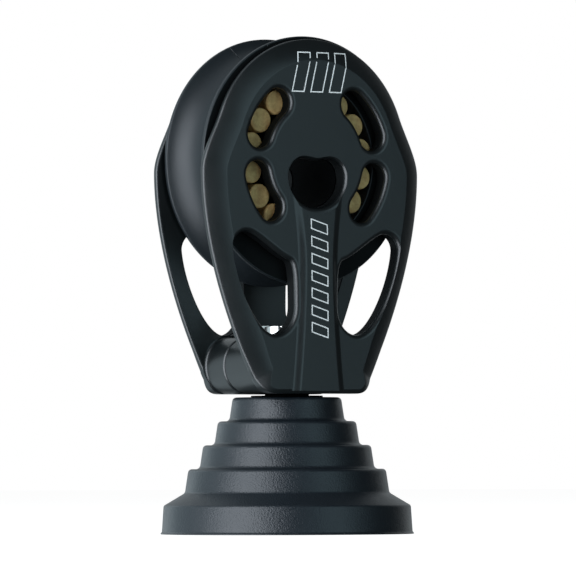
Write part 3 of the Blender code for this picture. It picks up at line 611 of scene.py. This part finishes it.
def cheek_outline():
    a = FLARE_ANGLE
    top = arc(0.0, TOP_RISE, TOP_RADIUS, math.pi / 2.0, a, 44)
    start = top[-1]
    flare_out = (start[0] + FLARE_PULL * math.sin(a), start[1] - FLARE_PULL * math.cos(a))
    flare = curve(start, flare_out, (SHOULDER[0], SHOULDER[1] + SHOULDER_PULL_UP), SHOULDER, 16)
    taper_in = (FOOT_CORNER[0] + FOOT_LEAN, FOOT_CORNER[1] + FOOT_PULL)
    taper = curve(SHOULDER, (SHOULDER[0], SHOULDER[1] - SHOULDER_PULL_DOWN), taper_in, FOOT_CORNER, 40)
    pull = 0.7 * FOOT_CORNER_RISE
    corner = (FOOT_CORNER[0] - FOOT_LEAN / FOOT_PULL * pull, FOOT_CORNER[1] - pull)
    bottom = curve(FOOT_CORNER, corner, (FOOT_FLAT + pull, -FOOT_DROP), (FOOT_FLAT, -FOOT_DROP), 12)
    return mirrored(top[:-1] + flare + taper + bottom + [(FOOT_FLAT, -FOOT_DROP)])


def inset(outline, width_at):
    """Move each point of a clockwise outline inwards along its normal."""
    moved = []
    count = len(outline)
    for i, (x, z) in enumerate(outline):
        before = outline[i - 1]
        after = outline[(i + 1) % count]
        along = Vector((after[0] - before[0], after[1] - before[1])).normalized()
        width = width_at(z)
        moved.append((x + along.y * width, z - along.x * width))
    return moved


def grown(outline, width):
    """Move an outline outwards by a width. The sign of its area tells which way it runs."""
    area = sum(a[0] * b[1] - b[0] * a[1] for a, b in zip(outline, outline[1:] + outline[:1]))
    return inset(outline, lambda z: math.copysign(width, area))


print("cheek outline points:", len(cheek_outline()))

# %% [markdown]
# ## The cheek plate
# A broad bevel runs round the plate: it starts at a thin straight edge and rises to the flat face. It
# keeps its width at the top and down the arms, narrows a little at the foot and nearly runs out along
# the bottom. Skinning a row of outlines, each a little further in and a little higher, makes the whole
# rim in one go, with the small rounding where edge and bevel meet.

# %% Cheek plate
BEVEL_WIDTH = 3.9 * MM
FOOT_BEVEL_WIDTH = 3.3 * MM
BOTTOM_BEVEL_WIDTH = 0.8 * MM
BEVEL_FADE_DROP = 34.0 * MM
BEVEL_SHARES = (0.16, 0.28, 0.42, 0.56, 0.70, 0.82, 0.91, 0.97, 1.0)
RIM_ROUND = 0.18 * MM
BACK_ROUND = 0.4 * MM
CORNER_SHARE = 0.08


def bevel_width_at(z):
    corner_drop = -FOOT_CORNER[1]
    fade = min(max((-z - BEVEL_FADE_DROP) / (corner_drop - BEVEL_FADE_DROP), 0.0), 1.0)
    corner = min(max((-z - corner_drop) / (FOOT_DROP - corner_drop), 0.0), 1.0)
    wide = BEVEL_WIDTH + (FOOT_BEVEL_WIDTH - BEVEL_WIDTH) * fade
    return wide + (BOTTOM_BEVEL_WIDTH - FOOT_BEVEL_WIDTH) * corner


def bevel_rise(share):
    """How far up the bevel has come: steep at its outer edge, half as steep at its inner one."""
    return share * (1.35 - 0.35 * share)


def skinned(rings):
    """Skin closed rings of points and cap both ends."""
    bm = bmesh.new()
    loops = [[bm.verts.new(point) for point in ring] for ring in rings]
    skin(bm, loops)
    bm.faces.new(loops[0])
    bm.faces.new(list(reversed(loops[-1])))
    bmesh.ops.recalc_face_normals(bm, faces=bm.faces[:])
    return bm


def quarter(count):
    """A quarter round of radius 1 in equal turns: the falls (1 - sine, 1 - cosine) at each."""
    angles = [math.pi / 2.0 * i / (count - 1) for i in range(count)]
    return [(1.0 - math.sin(a), 1.0 - math.cos(a)) for a in angles]


def on_cheek(outline, depth, side):
    return [Vector((x, side * depth, AXIS_HEIGHT + z)) for x, z in outline]


def bevel_ring(outline, share, rise, lower, side):
    """The outline moved in over a share of the bevel's width and up by a share of its depth."""
    ring = on_cheek(inset(outline, lambda z: share * bevel_width_at(z)), CHEEK_FACE - lower, side)
    falls = [BEVEL_DEPTH * bevel_width_at(z) / BEVEL_WIDTH * (1.0 - rise) for x, z in outline]
    return [point - Vector((0.0, side * fall, 0.0)) for point, fall in zip(ring, falls)]


def plate(side):
    outline = cheek_outline()
    rings = []
    for in_fall, up_fall in quarter(4):
        ring = inset(outline, lambda z: BACK_ROUND * in_fall)
        rings.append(on_cheek(ring, CHEEK_INNER + BACK_ROUND * up_fall, side))
    for t in (0.0, 0.25, 0.5, 0.75, 1.0):
        share, rise = t ** 2 * CORNER_SHARE, t ** 2 * bevel_rise(CORNER_SHARE)
        rings.append(bevel_ring(outline, share, rise, (1.0 - t) ** 2 * RIM_ROUND, side))
    for share in BEVEL_SHARES:
        rings.append(bevel_ring(outline, share, bevel_rise(share), 0.0, side))
    return skinned(rings)


# %% [markdown]
# ## Slots, windows and the lashing hole
# Four bean-shaped slots let water out of the bearing and show the rollers. Two tear-shaped windows
# lighten the plate below. The kidney-shaped hole through the hub takes a lashing. All are milled and
# then tumbled, so their rims are round: each cutter opens out in an arc where it meets a face, and
# cutting with it leaves the rounding behind.

# %% Openings
SLOT_RADIUS = 13.15 * MM
SLOT_HALF_WIDTH = 2.55 * MM
SLOT_ANGLES = ((math.radians(20.0), math.radians(51.0)), (math.radians(-40.5), math.radians(-12.5)))
RACE_WALL = 3.3 * MM
CROSS_HEIGHT = 10.2 * MM
ARM_WIDTH = 5.5 * MM
WINDOW_TOP = (15.3 * MM, -13.05 * MM)
WINDOW_OUTER = (SHOULDER[0] - ARM_WIDTH, -16.0 * MM)
WINDOW_FOOT = (9.0 * MM, CROSS_HEIGHT - FOOT_DROP + 0.4 * MM)
WINDOW_INNER = (4.7 * MM, -26.4 * MM)
WINDOW_TURN = math.radians(4.0)
QUARTER_PULL = 0.55
RIM_RADIUS = 0.95 * MM
BACK_RIM_RADIUS = 0.2 * MM
OVERRUN = 1.0 * MM


def slot_outline(start, end):
    """A bean along the race: two arcs about the axis, joined by two round ends."""
    def round_end(angle, turned):
        centre = (SLOT_RADIUS * math.cos(angle), SLOT_RADIUS * math.sin(angle))
        return arc(*centre, SLOT_HALF_WIDTH, turned, turned + math.pi, 18)[1:-1]

    outer = arc(0.0, 0.0, SLOT_RADIUS + SLOT_HALF_WIDTH, start, end, 14)
    inner = arc(0.0, 0.0, SLOT_RADIUS - SLOT_HALF_WIDTH, end, start, 12)
    return outer + round_end(end, end) + inner + round_end(start, start + math.pi)


def window_outline():
    """A tear: its top follows the race, its long side the arm and its short one the spine."""
    top, outer, foot, inner = WINDOW_TOP, WINDOW_OUTER, WINDOW_FOOT, WINDOW_INNER
    race = SLOT_RADIUS + SLOT_HALF_WIDTH + RACE_WALL
    turn_in = math.asin(inner[0] / race) + WINDOW_TURN
    corner = (race * math.sin(turn_in), -race * math.cos(turn_in))
    tangent = (math.cos(turn_in), math.sin(turn_in))
    depth = outer[1] - foot[1]
    q = QUARTER_PULL
    points = curve(top, (top[0] + q * (outer[0] - top[0]), top[1]),
                   (outer[0], outer[1] + q * (top[1] - outer[1])), outer, 12)
    points += curve(outer, (outer[0] - 0.042 * depth, outer[1] - 0.42 * depth),
                    (foot[0] + 0.42 * (outer[0] - foot[0]), foot[1]), foot, 28)
    points += curve(foot, (foot[0] + q * (inner[0] - foot[0]), foot[1]),
                    (inner[0], inner[1] + q * (foot[1] - inner[1])), inner, 18)
    reach = corner[0] - inner[0]
    points += curve(inner, (inner[0], inner[1] + q * (corner[1] - inner[1])),
                    (corner[0] - reach * tangent[0], corner[1] - reach * tangent[1]), corner, 12)
    span = top[0] - corner[0]
    pull = 0.32 * span
    points += curve(corner, (corner[0] + pull * tangent[0], corner[1] + pull * tangent[1]),
                    (top[0] - 0.21 * span, top[1]), top, 18)
    return points


def hub_hole_outline():
    """A kidney: a dip in the top, round shoulders and half an ellipse below."""
    wide, corner, top, low, dip = 6.2 * MM, 3.4 * MM, 0.4 * MM, -8.6 * MM, 0.35 * MM
    middle = (wide - corner, top - corner)
    half = curve((0.0, top - dip), (0.9 * MM, top - dip), (1.6 * MM, top), (middle[0], top), 6)
    half += arc(middle[0], middle[1], corner, math.pi / 2.0, 0.0, 14)
    angles = [math.pi / 2.0 * i / 18 for i in range(1, 19)]
    half += [(wide * math.cos(a), middle[1] - (middle[1] - low) * math.sin(a)) for a in angles]
    half[-1] = (0.0, low)
    return mirrored(half)


def opening(outline, side, top=CHEEK_FACE):
    """A cutter with a rounded mouth at the face and a smaller rounding at the back."""
    rings = [on_cheek(grown(outline, BACK_RIM_RADIUS), CHEEK_INNER - OVERRUN, side)]
    for out_fall, up_fall in quarter(4):
        ring = grown(outline, BACK_RIM_RADIUS * out_fall)
        rings.append(on_cheek(ring, CHEEK_INNER + BACK_RIM_RADIUS * up_fall, side))
    for up_fall, out_fall in quarter(6):
        rings.append(on_cheek(grown(outline, RIM_RADIUS * out_fall), top - RIM_RADIUS * up_fall, side))
    rings.append(on_cheek(grown(outline, RIM_RADIUS), SPINE_FACE + OVERRUN, side))
    bm = skinned(rings)
    for face in bm.faces:
        # Walls below the rounded mouth take the second finish: painted shade inside the opening.
        face.material_index = 1 if side * face.calc_center_median().y < top - RIM_RADIUS else 0
    return bm


# %% [markdown]
# ## The spine and the cross-piece
# A low rib stiffens the cheek from the lashing hole down to the foot. Its top is flat and its flanks
# fall in an S, so one flank is lit and the other is dark. The foot of the cheek carries half of the
# cross-piece, a rounded bar that leaves the plate in a small fillet. It meets the other cheek's half at
# a parting line, where the rear half's edge is rounder and the front half stands a little lower. Both
# are joined to the plate by a Boolean union, as they are one casting.

# %% Spine and cross-piece
FLANK_START = -0.3 * MM
FLANK_WIDTH = 1.6 * MM
FLANK_STEPS = 12
SPINE_STEPS = 48
SPINE_END = 0.5 * MM
SPINE_FIRST_RISE = 0.15
SPINE_RISE_RATE = 2.5
SPINE_PROFILE = [(FLANK_START + FLANK_WIDTH * t, 1.0 - t * t * (3.0 - 2.0 * t))
                 for t in [i / FLANK_STEPS for i in range(FLANK_STEPS + 1)]]
SPINE_TOP_DROP = 3.0 * MM
SPINE_WAIST_DROP = 19.0 * MM
CROSS_HALF_WIDTH = 13.15 * MM
CROSS_FILLET = 0.55 * MM
FILLET_FADE = 3.0 * MM
PARTING = 0.9 * MM
PARTING_GAP = 0.05 * MM
PARTING_ROUND = {1: 0.55 * MM, -1: 0.08 * MM}
PARTING_STEP = {1: 0.0, -1: 0.12 * MM}


def spine_half_width(drop):
    waist, top, foot = 3.05 * MM, 4.9 * MM, 4.5 * MM
    if drop < SPINE_WAIST_DROP:
        share = (SPINE_WAIST_DROP - drop) / (SPINE_WAIST_DROP - SPINE_TOP_DROP)
        return waist + (top - waist) * share ** 1.7
    share = (drop - SPINE_WAIST_DROP) / (FOOT_DROP - SPINE_WAIST_DROP)
    return waist + (foot - waist) * share ** 1.8


def spine(side):
    """The rib, which starts nearly flush and has risen to its full height before its waist."""
    last = FOOT_DROP - SPINE_END
    rings = []
    for i in range(SPINE_STEPS + 1):
        drop = SPINE_TOP_DROP + (last - SPINE_TOP_DROP) * i / SPINE_STEPS
        rise = SPINE_HEIGHT * min(1.0, SPINE_FIRST_RISE + SPINE_RISE_RATE * i / SPINE_STEPS)
        half = spine_half_width(drop)
        profile = [(x, CHEEK_FACE + y * rise) for x, y in SPINE_PROFILE]
        right_side = [(half + x, y) for x, y in profile] + [(half + SPINE_PROFILE[-1][0], CHEEK_EDGE)]
        section = [(-x, depth) for x, depth in reversed(right_side)] + right_side
        rings.append([Vector((x, side * depth, AXIS_HEIGHT - drop)) for x, depth in section])
    return skinned(rings)


def cross_outline():
    radius = CROSS_HEIGHT / 2.0
    centre_z = -FOOT_DROP + radius
    reach = CROSS_HALF_WIDTH - radius
    right_end = arc(reach, centre_z, radius, math.pi / 2.0, -math.pi / 2.0, 28)
    left_end = arc(-reach, centre_z, radius, -math.pi / 2.0, -3.0 * math.pi / 2.0, 28)
    return right_end + left_end


def cross_half(side):
    """Half of the cross-piece: a fillet where it leaves the plate, a rounded edge at the parting."""
    shape = inset(cross_outline(), lambda z: PARTING_STEP[side])
    inner = PARTING * side + PARTING_GAP
    edge = PARTING_ROUND[side]

    def flared(width):
        """The outline opened out by a width, which fades at the bottom, where the plate ends."""
        return inset(shape, lambda z: -width * min(max((z + FOOT_DROP) / FILLET_FADE - 0.3, 0.0), 1.0))

    rings = [on_cheek(flared(CROSS_FILLET), CHEEK_EDGE, side)]
    for out_fall, down_fall in quarter(6):
        ring = flared(CROSS_FILLET * out_fall)
        rings.append(on_cheek(ring, CHEEK_INNER - CROSS_FILLET * down_fall, side))
    for up_fall, in_fall in quarter(6):
        ring = inset(shape, lambda z: edge * in_fall)
        rings.append(on_cheek(ring, inner + edge * up_fall, side))
    return skinned(rings)


# %% [markdown]
# ## Cutting the cheek
# With the plate, its additions and its cutters ready, Booleans do the rest: first the unions, then the
# cuts. They are applied at once, so that the mesh that rides on the body is final. The exact solver is
# slower than the fast one, but it keeps the flat faces whole.

# %% Cheeks
SCREW_HEAD_RADIUS = 2.8 * MM
SCREW_RADIUS = 1.5 * MM
SCREW_HEAD_HEIGHT = 1.5 * MM
SCREW_GAP = 0.3 * MM
SCREW_DEPTH = 1.8 * MM
SCREW_SEGMENTS = 48
SEAT_CHAMFER = 0.15 * MM
SEAT_CHAMFER_SUNK = 0.1 * MM
SPINDLE_BORE = 4.3 * MM
HUB_RIM_LIFT = 0.2 * MM
SCREW_PLACES = {
    "hub_screw_left": (-4.9 * MM, 4.8 * MM),
    "hub_screw_right": (4.9 * MM, 4.8 * MM),
    "foot_screw_left": (-8.6 * MM, -FOOT_DROP + CROSS_HEIGHT / 2.0),
    "foot_screw_right": (8.6 * MM, -FOOT_DROP + CROSS_HEIGHT / 2.0),
}


def guide(bm):
    """A helper solid for a Boolean."""
    mesh = bpy.data.meshes.new("guide")
    bm.to_mesh(mesh)
    bm.free()
    mesh.materials.append(black_anodised)
    mesh.materials.append(painted_shade_finish)
    obj = bpy.data.objects.new("guide", mesh)
    scene.collection.objects.link(obj)
    return obj


def shape_of(obj):
    """The mesh of a helper solid. The helper itself goes."""
    bm = bmesh.new()
    bm.from_mesh(obj.data)
    bpy.data.objects.remove(obj)
    return bm


def combine(obj, bm, operation):
    """Apply one Boolean to the object and throw the helper away."""
    other = guide(bm)
    step = obj.modifiers.new("step", "BOOLEAN")
    step.operation = operation
    step.object = other
    step.solver = "EXACT"
    bpy.context.view_layer.update()
    result = bpy.data.meshes.new_from_object(obj.evaluated_get(bpy.context.evaluated_depsgraph_get()))
    obj.modifiers.remove(step)
    obj.data = result
    bpy.data.objects.remove(other)


def screw_seat(spot):
    """The blind bore of a screw from the rear, with its countersunk seat."""
    head = SCREW_HEAD_RADIUS + SCREW_GAP
    shank = SCREW_RADIUS + SCREW_GAP
    tip = -CHEEK_INNER - SCREW_DEPTH
    mouth = head + SEAT_CHAMFER
    far = SPINE_FACE + OVERRUN
    section = [(0.0, tip), (shank, tip), (shank, CHEEK_FACE - SCREW_HEAD_HEIGHT),
               (head, CHEEK_FACE - SEAT_CHAMFER_SUNK),
               (mouth, CHEEK_FACE - SEAT_CHAMFER_SUNK + SEAT_CHAMFER), (mouth, far), (0.0, far)]
    return spun(section, (0, 1, 0), AXIS + Vector((spot[0], 0.0, spot[1])), SCREW_SEGMENTS)


def spindle_bore():
    low, high = HEAD_FOOT - OVERRUN, HEAD_FOOT + CROSS_HEIGHT + OVERRUN
    return spun([(0.0, low), (SPINDLE_BORE, low), (SPINDLE_BORE, high), (0.0, high)],
                (0, 0, 1), Vector(), 64)


def cheek(name, side):
    obj = guide(plate(side))
    combine(obj, spine(side), "UNION")
    combine(obj, cross_half(side), "UNION")
    for hand in (-1, 1):
        for outline in [slot_outline(*angles) for angles in SLOT_ANGLES] + [window_outline()]:
            combine(obj, opening([(hand * x, z) for x, z in outline], side), "DIFFERENCE")
    combine(obj, opening(hub_hole_outline(), side, CHEEK_FACE + HUB_RIM_LIFT), "DIFFERENCE")
    combine(obj, spindle_bore(), "DIFFERENCE")
    for spot in SCREW_PLACES.values():
        combine(obj, screw_seat(spot), "DIFFERENCE")
    bm = shape_of(obj)
    bmesh.ops.remove_doubles(bm, verts=bm.verts[:], dist=1e-6)
    made = weigh_normals(finished(name + "_cast", bm, black_anodised, 32.0))
    # The second finish is the painted shade of the opening walls.
    made.data.materials.append(painted_shade_finish)
    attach(made, "head")
    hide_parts(name)
    print(name, "faces:", len(made.data.polygons))
    return made


front_cheek = cheek("front_cheek", -1)
cheek("rear_cheek", 1)

# %% [markdown]
# ## The hub sleeve
# The hub is the fixed inner race between the cheeks. Its rim is the rollers' track, and the lashing
# hole goes right through it. Inside the hole only its wall shows, nearly black: painted shade.

# %% Hub
hub_low, hub_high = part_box("hub")
HUB_RADIUS = (hub_high.x - hub_low.x) / 2.0
hub_section = rounded([(0.0, -hub_high.y, 0.0), (HUB_RADIUS, -hub_high.y, EDGE_ROUND),
                       (HUB_RADIUS, hub_high.y, EDGE_ROUND), (0.0, hub_high.y, 0.0)])
hub = guide(spun(hub_section, (0, 1, 0), AXIS, 128))
hub_hole = [on_cheek(hub_hole_outline(), end * (hub_high.y + OVERRUN), 1) for end in (-1, 1)]
combine(hub, skinned(hub_hole), "DIFFERENCE")
for screw_name in ("hub_screw_left", "hub_screw_right"):
    combine(hub, screw_seat(SCREW_PLACES[screw_name]), "DIFFERENCE")
# The hub's near-black finish is painted shade.
hub_sleeve = weigh_normals(finished("hub_sleeve", shape_of(hub), dark_oxide_painted_shade, 32.0))
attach(hub_sleeve, "head")
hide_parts("hub")

# %% [markdown]
# ## The screws
# Four socket screws hold the cheeks together from the rear. Each is a countersunk head with a hexagon
# socket, made as a turned body with a six-sided cut.

# %% Screws
SOCKET_DEPTH = 0.8 * MM
SOCKET_RADIUS = 1.15 * MM
SOCKET_MOUTH_RADIUS = 1.5 * MM
SOCKET_OVERRUN = 0.4 * MM


def socket_screw(name, spot):
    low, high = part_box(name)
    centre = AXIS + Vector((spot[0], 0.0, spot[1]))
    corners = [(0.0, low.y, 0.0), (SCREW_RADIUS, low.y, 0.2 * MM),
               (SCREW_RADIUS, high.y - SCREW_HEAD_HEIGHT, 0.0),
               (SCREW_HEAD_RADIUS, high.y, 0.12 * MM), (0.0, high.y, 0.0)]
    body = guide(spun(rounded(corners, 3), (0, 1, 0), centre, SCREW_SEGMENTS))
    floor, mouth = high.y - SOCKET_DEPTH, high.y + SOCKET_OVERRUN
    socket = [(0.0, floor), (SOCKET_RADIUS, floor), (SOCKET_RADIUS, high.y),
              (SOCKET_MOUTH_RADIUS, mouth), (0.0, mouth)]
    combine(body, spun(socket, (0, 1, 0), centre, 6), "DIFFERENCE")
    screw = weigh_normals(finished(name + "_socket", shape_of(body), black_oxide, 30.0))
    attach(screw, "head")
    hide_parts(name)


for screw_name, screw_spot in SCREW_PLACES.items():
    socket_screw(screw_name, screw_spot)

# %% [markdown]
# ## The marks
# The photograph's cheek carries thin etched outlines at its top and down its spine. What they spell is
# left out. In their place is a plain ornament of outlined slanting bars with the same line width. The
# lines could be drawn in the material, but then the exported mesh would lose them. So they are a film a
# few hundredths of a millimetre thick. Each point is dropped on the cheek by a ray, which lets the
# lines follow the spine and the bevel.

# %% Marks
LINE_WIDTH = 0.2 * MM
LINE_HEIGHT = 0.02 * MM
LINE_PIECES = 8
TOP_MARK = (0.7 * MM, 15.85 * MM)
TOP_PITCH = 4.1 * MM
TOP_BAR = (2.8 * MM, 7.3 * MM, 1.8 * MM, 0.0)
SPINE_MARK_START = -12.0 * MM
SPINE_PITCH = 3.1 * MM
SPINE_BAR = (3.7 * MM, 1.9 * MM, 0.0, 1.1 * MM)
cheek_tree = BVHTree.FromObject(front_cheek, bpy.context.evaluated_depsgraph_get())


def depth_at(x, z):
    """How far out the front cheek's surface is at this place."""
    start = Vector((x, -2.0 * SPINE_FACE, AXIS_HEIGHT + z))
    hit = cheek_tree.ray_cast(start, Vector((0.0, 1.0, 0.0)))[0]
    return -hit.y if hit else CHEEK_FACE


def corners_moved(corners, width):
    """Move the sides of a small polygon inwards and meet them again at its corners."""
    made = []
    for i in range(len(corners)):
        a, b, c = (Vector(corners[k % len(corners)]) for k in (i - 1, i, i + 1))
        one = (b - a).normalized()
        two = (c - b).normalized()
        side_one = Vector((-one.y, one.x))
        inwards = side_one + Vector((-two.y, two.x))
        made.append(b + inwards * width / inwards.dot(side_one))
    return made


def line_ring(corners, width):
    """Points along a polygon's sides, moved inwards by a width."""
    ring = corners_moved(corners, width)
    return [a.lerp(b, i / LINE_PIECES)
            for a, b in zip(ring, ring[1:] + ring[:1]) for i in range(LINE_PIECES)]


def outlined(bm, corners):
    """A closed band of line round a counter-clockwise polygon on the front cheek."""
    loops = []
    for width, proud in ((0.0, -1.0), (0.0, 1.0), (LINE_WIDTH, 1.0), (LINE_WIDTH, -1.0)):
        loops.append([bm.verts.new((x, -depth_at(x, z) - proud * LINE_HEIGHT, AXIS_HEIGHT + z))
                      for x, z in line_ring(corners, width)])
    skin(bm, loops + loops[:1])


def slanted(x, z, wide, tall, lean_x, lean_z):
    """The corners of a bar: its top is pushed to the right by lean_x, its right end down by lean_z."""
    return [(x + (i * wide + k * lean_x) / 2.0, z + (k * tall - i * lean_z) / 2.0)
            for i, k in ((-1, -1), (1, -1), (1, 1), (-1, 1))]


marks = bmesh.new()
for step in (-1, 0, 1):
    outlined(marks, slanted(TOP_MARK[0] + TOP_PITCH * step, TOP_MARK[1], *TOP_BAR))
for step in range(7):
    outlined(marks, slanted(0.0, SPINE_MARK_START - SPINE_PITCH * step, *SPINE_BAR))
# The marks carry the painted glow.
etched = finished("etched_marks", marks, white_mark_painted_glow)
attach(etched, "head")
print("mark faces:", len(etched.data.polygons))

# %% [markdown]
# ## The boot
# The boot is a stepped rubber bellows: a broad ring on the deck, a slope and four steps that fold when
# the block leans. Its section is drawn once, outside and inside. It bends about two crossed pins, and a
# piece can only bend across one joint, so the boot is made of two pieces that meet low on the wall of
# the third step.

# %% Boot
BOOT_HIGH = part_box("boot")[1].z
RING_RADIUS = 22.6 * MM
RING_HEIGHT = 5.15 * MM
SLOPE_HEIGHT = 2.3 * MM
LIP = 0.45 * MM
LIP_HEIGHT = 0.45 * MM
STEP_COUNT = 4
STEP_BOTTOM = 18.5 * MM
STEP_TOP = 9.8 * MM
STEP_DRAFT = 0.65 * MM
STEP_ROUND = 0.75 * MM
CREASE_ROUND = 0.8 * MM
BOOT_WALL = 2.2 * MM
NECK_RADIUS = 6.8 * MM
ROOM_FLOOR = 2.3 * MM
ROOM_RADIUS = 19.3 * MM
BOOT_SEGMENTS = 160
SEAM_STEP = 2
SEAM_RISE = 0.85 * MM


def boot_steps():
    """Bottom radius, top radius, bottom height and top height of each step."""
    start = RING_HEIGHT + SLOPE_HEIGHT
    rise = (BOOT_HIGH - start) / STEP_COUNT
    shrink = (STEP_BOTTOM - STEP_TOP - STEP_DRAFT) / (STEP_COUNT - 1)
    return [(STEP_BOTTOM - shrink * i, STEP_BOTTOM - shrink * i - STEP_DRAFT, start + rise * i,
             start + rise * (i + 1)) for i in range(STEP_COUNT)]


def boot_section(steps):
    """The whole section: up the outside from the deck, over the top and down the inner wall."""
    outside = [(RING_RADIUS + LIP, 0.0, 0.12 * MM), (RING_RADIUS + 0.08 * MM, LIP_HEIGHT, 0.3 * MM),
               (RING_RADIUS - LIP / 2.0, RING_HEIGHT, 0.6 * MM)]
    for low_radius, high_radius, low, high in steps:
        outside += [(low_radius, low, CREASE_ROUND), (high_radius, high, STEP_ROUND)]
    inside = [(NECK_RADIUS, BOOT_HIGH, 0.25 * MM), (NECK_RADIUS, BOOT_HIGH - BOOT_WALL, 0.0)]
    for low_radius, high_radius, low, high in reversed(steps):
        inside += [(high_radius - BOOT_WALL, high - BOOT_WALL, 0.0),
                   (low_radius - BOOT_WALL, low - BOOT_WALL / 2.0, 0.0)]
    inside += [(STEP_BOTTOM - BOOT_WALL, ROOM_FLOOR, 0.0), (ROOM_RADIUS, ROOM_FLOOR, 0.0),
               (ROOM_RADIUS, 0.0, 0.0)]
    return rounded(outside + inside, 6)


def part_of(section, seam, upper):
    """The part of a closed section above or below the seam's height, closed along the seam."""
    kept = []
    for a, b in zip(section, section[1:] + section[:1]):
        if (a[1] > seam) == upper:
            kept.append(a)
        if (a[1] > seam) != (b[1] > seam):
            share = (seam - a[1]) / (b[1] - a[1])
            kept.append((a[0] + (b[0] - a[0]) * share, seam))
    return kept


steps = boot_steps()
whole_section = boot_section(steps)
seam_height = steps[SEAM_STEP][2] + SEAM_RISE
pieces = (("boot_lower", False, "base", "toggle_link", steps[0][2], seam_height),
          ("boot_upper", True, "toggle_link", "post", seam_height, BOOT_HIGH))
for name, upper, below, above, start, end in pieces:
    half_section = part_of(whole_section, seam_height, upper)
    piece = finished(name, spun(half_section, (0, 0, 1), Vector(), BOOT_SEGMENTS), rubber, 50.0)
    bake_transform(piece)
    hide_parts("boot")
    print(name, "faces:", len(piece.data.polygons))

# %% [markdown]
# ## The nut
# A sliver of bright metal shows through the window: the low nut that holds the head on its post.

# %% Nut
nut_low, nut_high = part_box("swivel_nut")
NUT_RADIUS = nut_high.x
nut_section = rounded([(SPINDLE_BORE, nut_low.z, 0.0), (NUT_RADIUS, nut_low.z, 0.1 * MM),
                       (NUT_RADIUS, nut_high.z, 0.35 * MM), (SPINDLE_BORE, nut_high.z, 0.2 * MM)])
nut_shape = spun(nut_section, (0, 0, 1), Vector(), 96)
nut = weigh_normals(finished("swivel_nut_turned", nut_shape, polished_stainless))
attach(nut, "post")
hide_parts("swivel_nut")

# %% [markdown]
# ## The pieces that stay
# The boot hides the toggle, the pins, the base plate and nearly all of the post, and the model's own
# solids are right for them. They keep their shape and get a finish: turned stainless, and for the post
# the near-black oxide that is painted shade.

# %% Finishes of the model's own solids
KEPT = ("swivel_post", "toggle", "base_plate", "fore_pin", "fore_pin_clip", "side_pin", "side_pin_clip")
for name in KEPT:
    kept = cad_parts[name]
    kept.data.materials.clear()
    # The post takes the near-black oxide, which is painted shade.
    kept.data.materials.append(dark_oxide_painted_shade if name == "swivel_post" else turned_stainless)
print("kept solids:", len(KEPT))
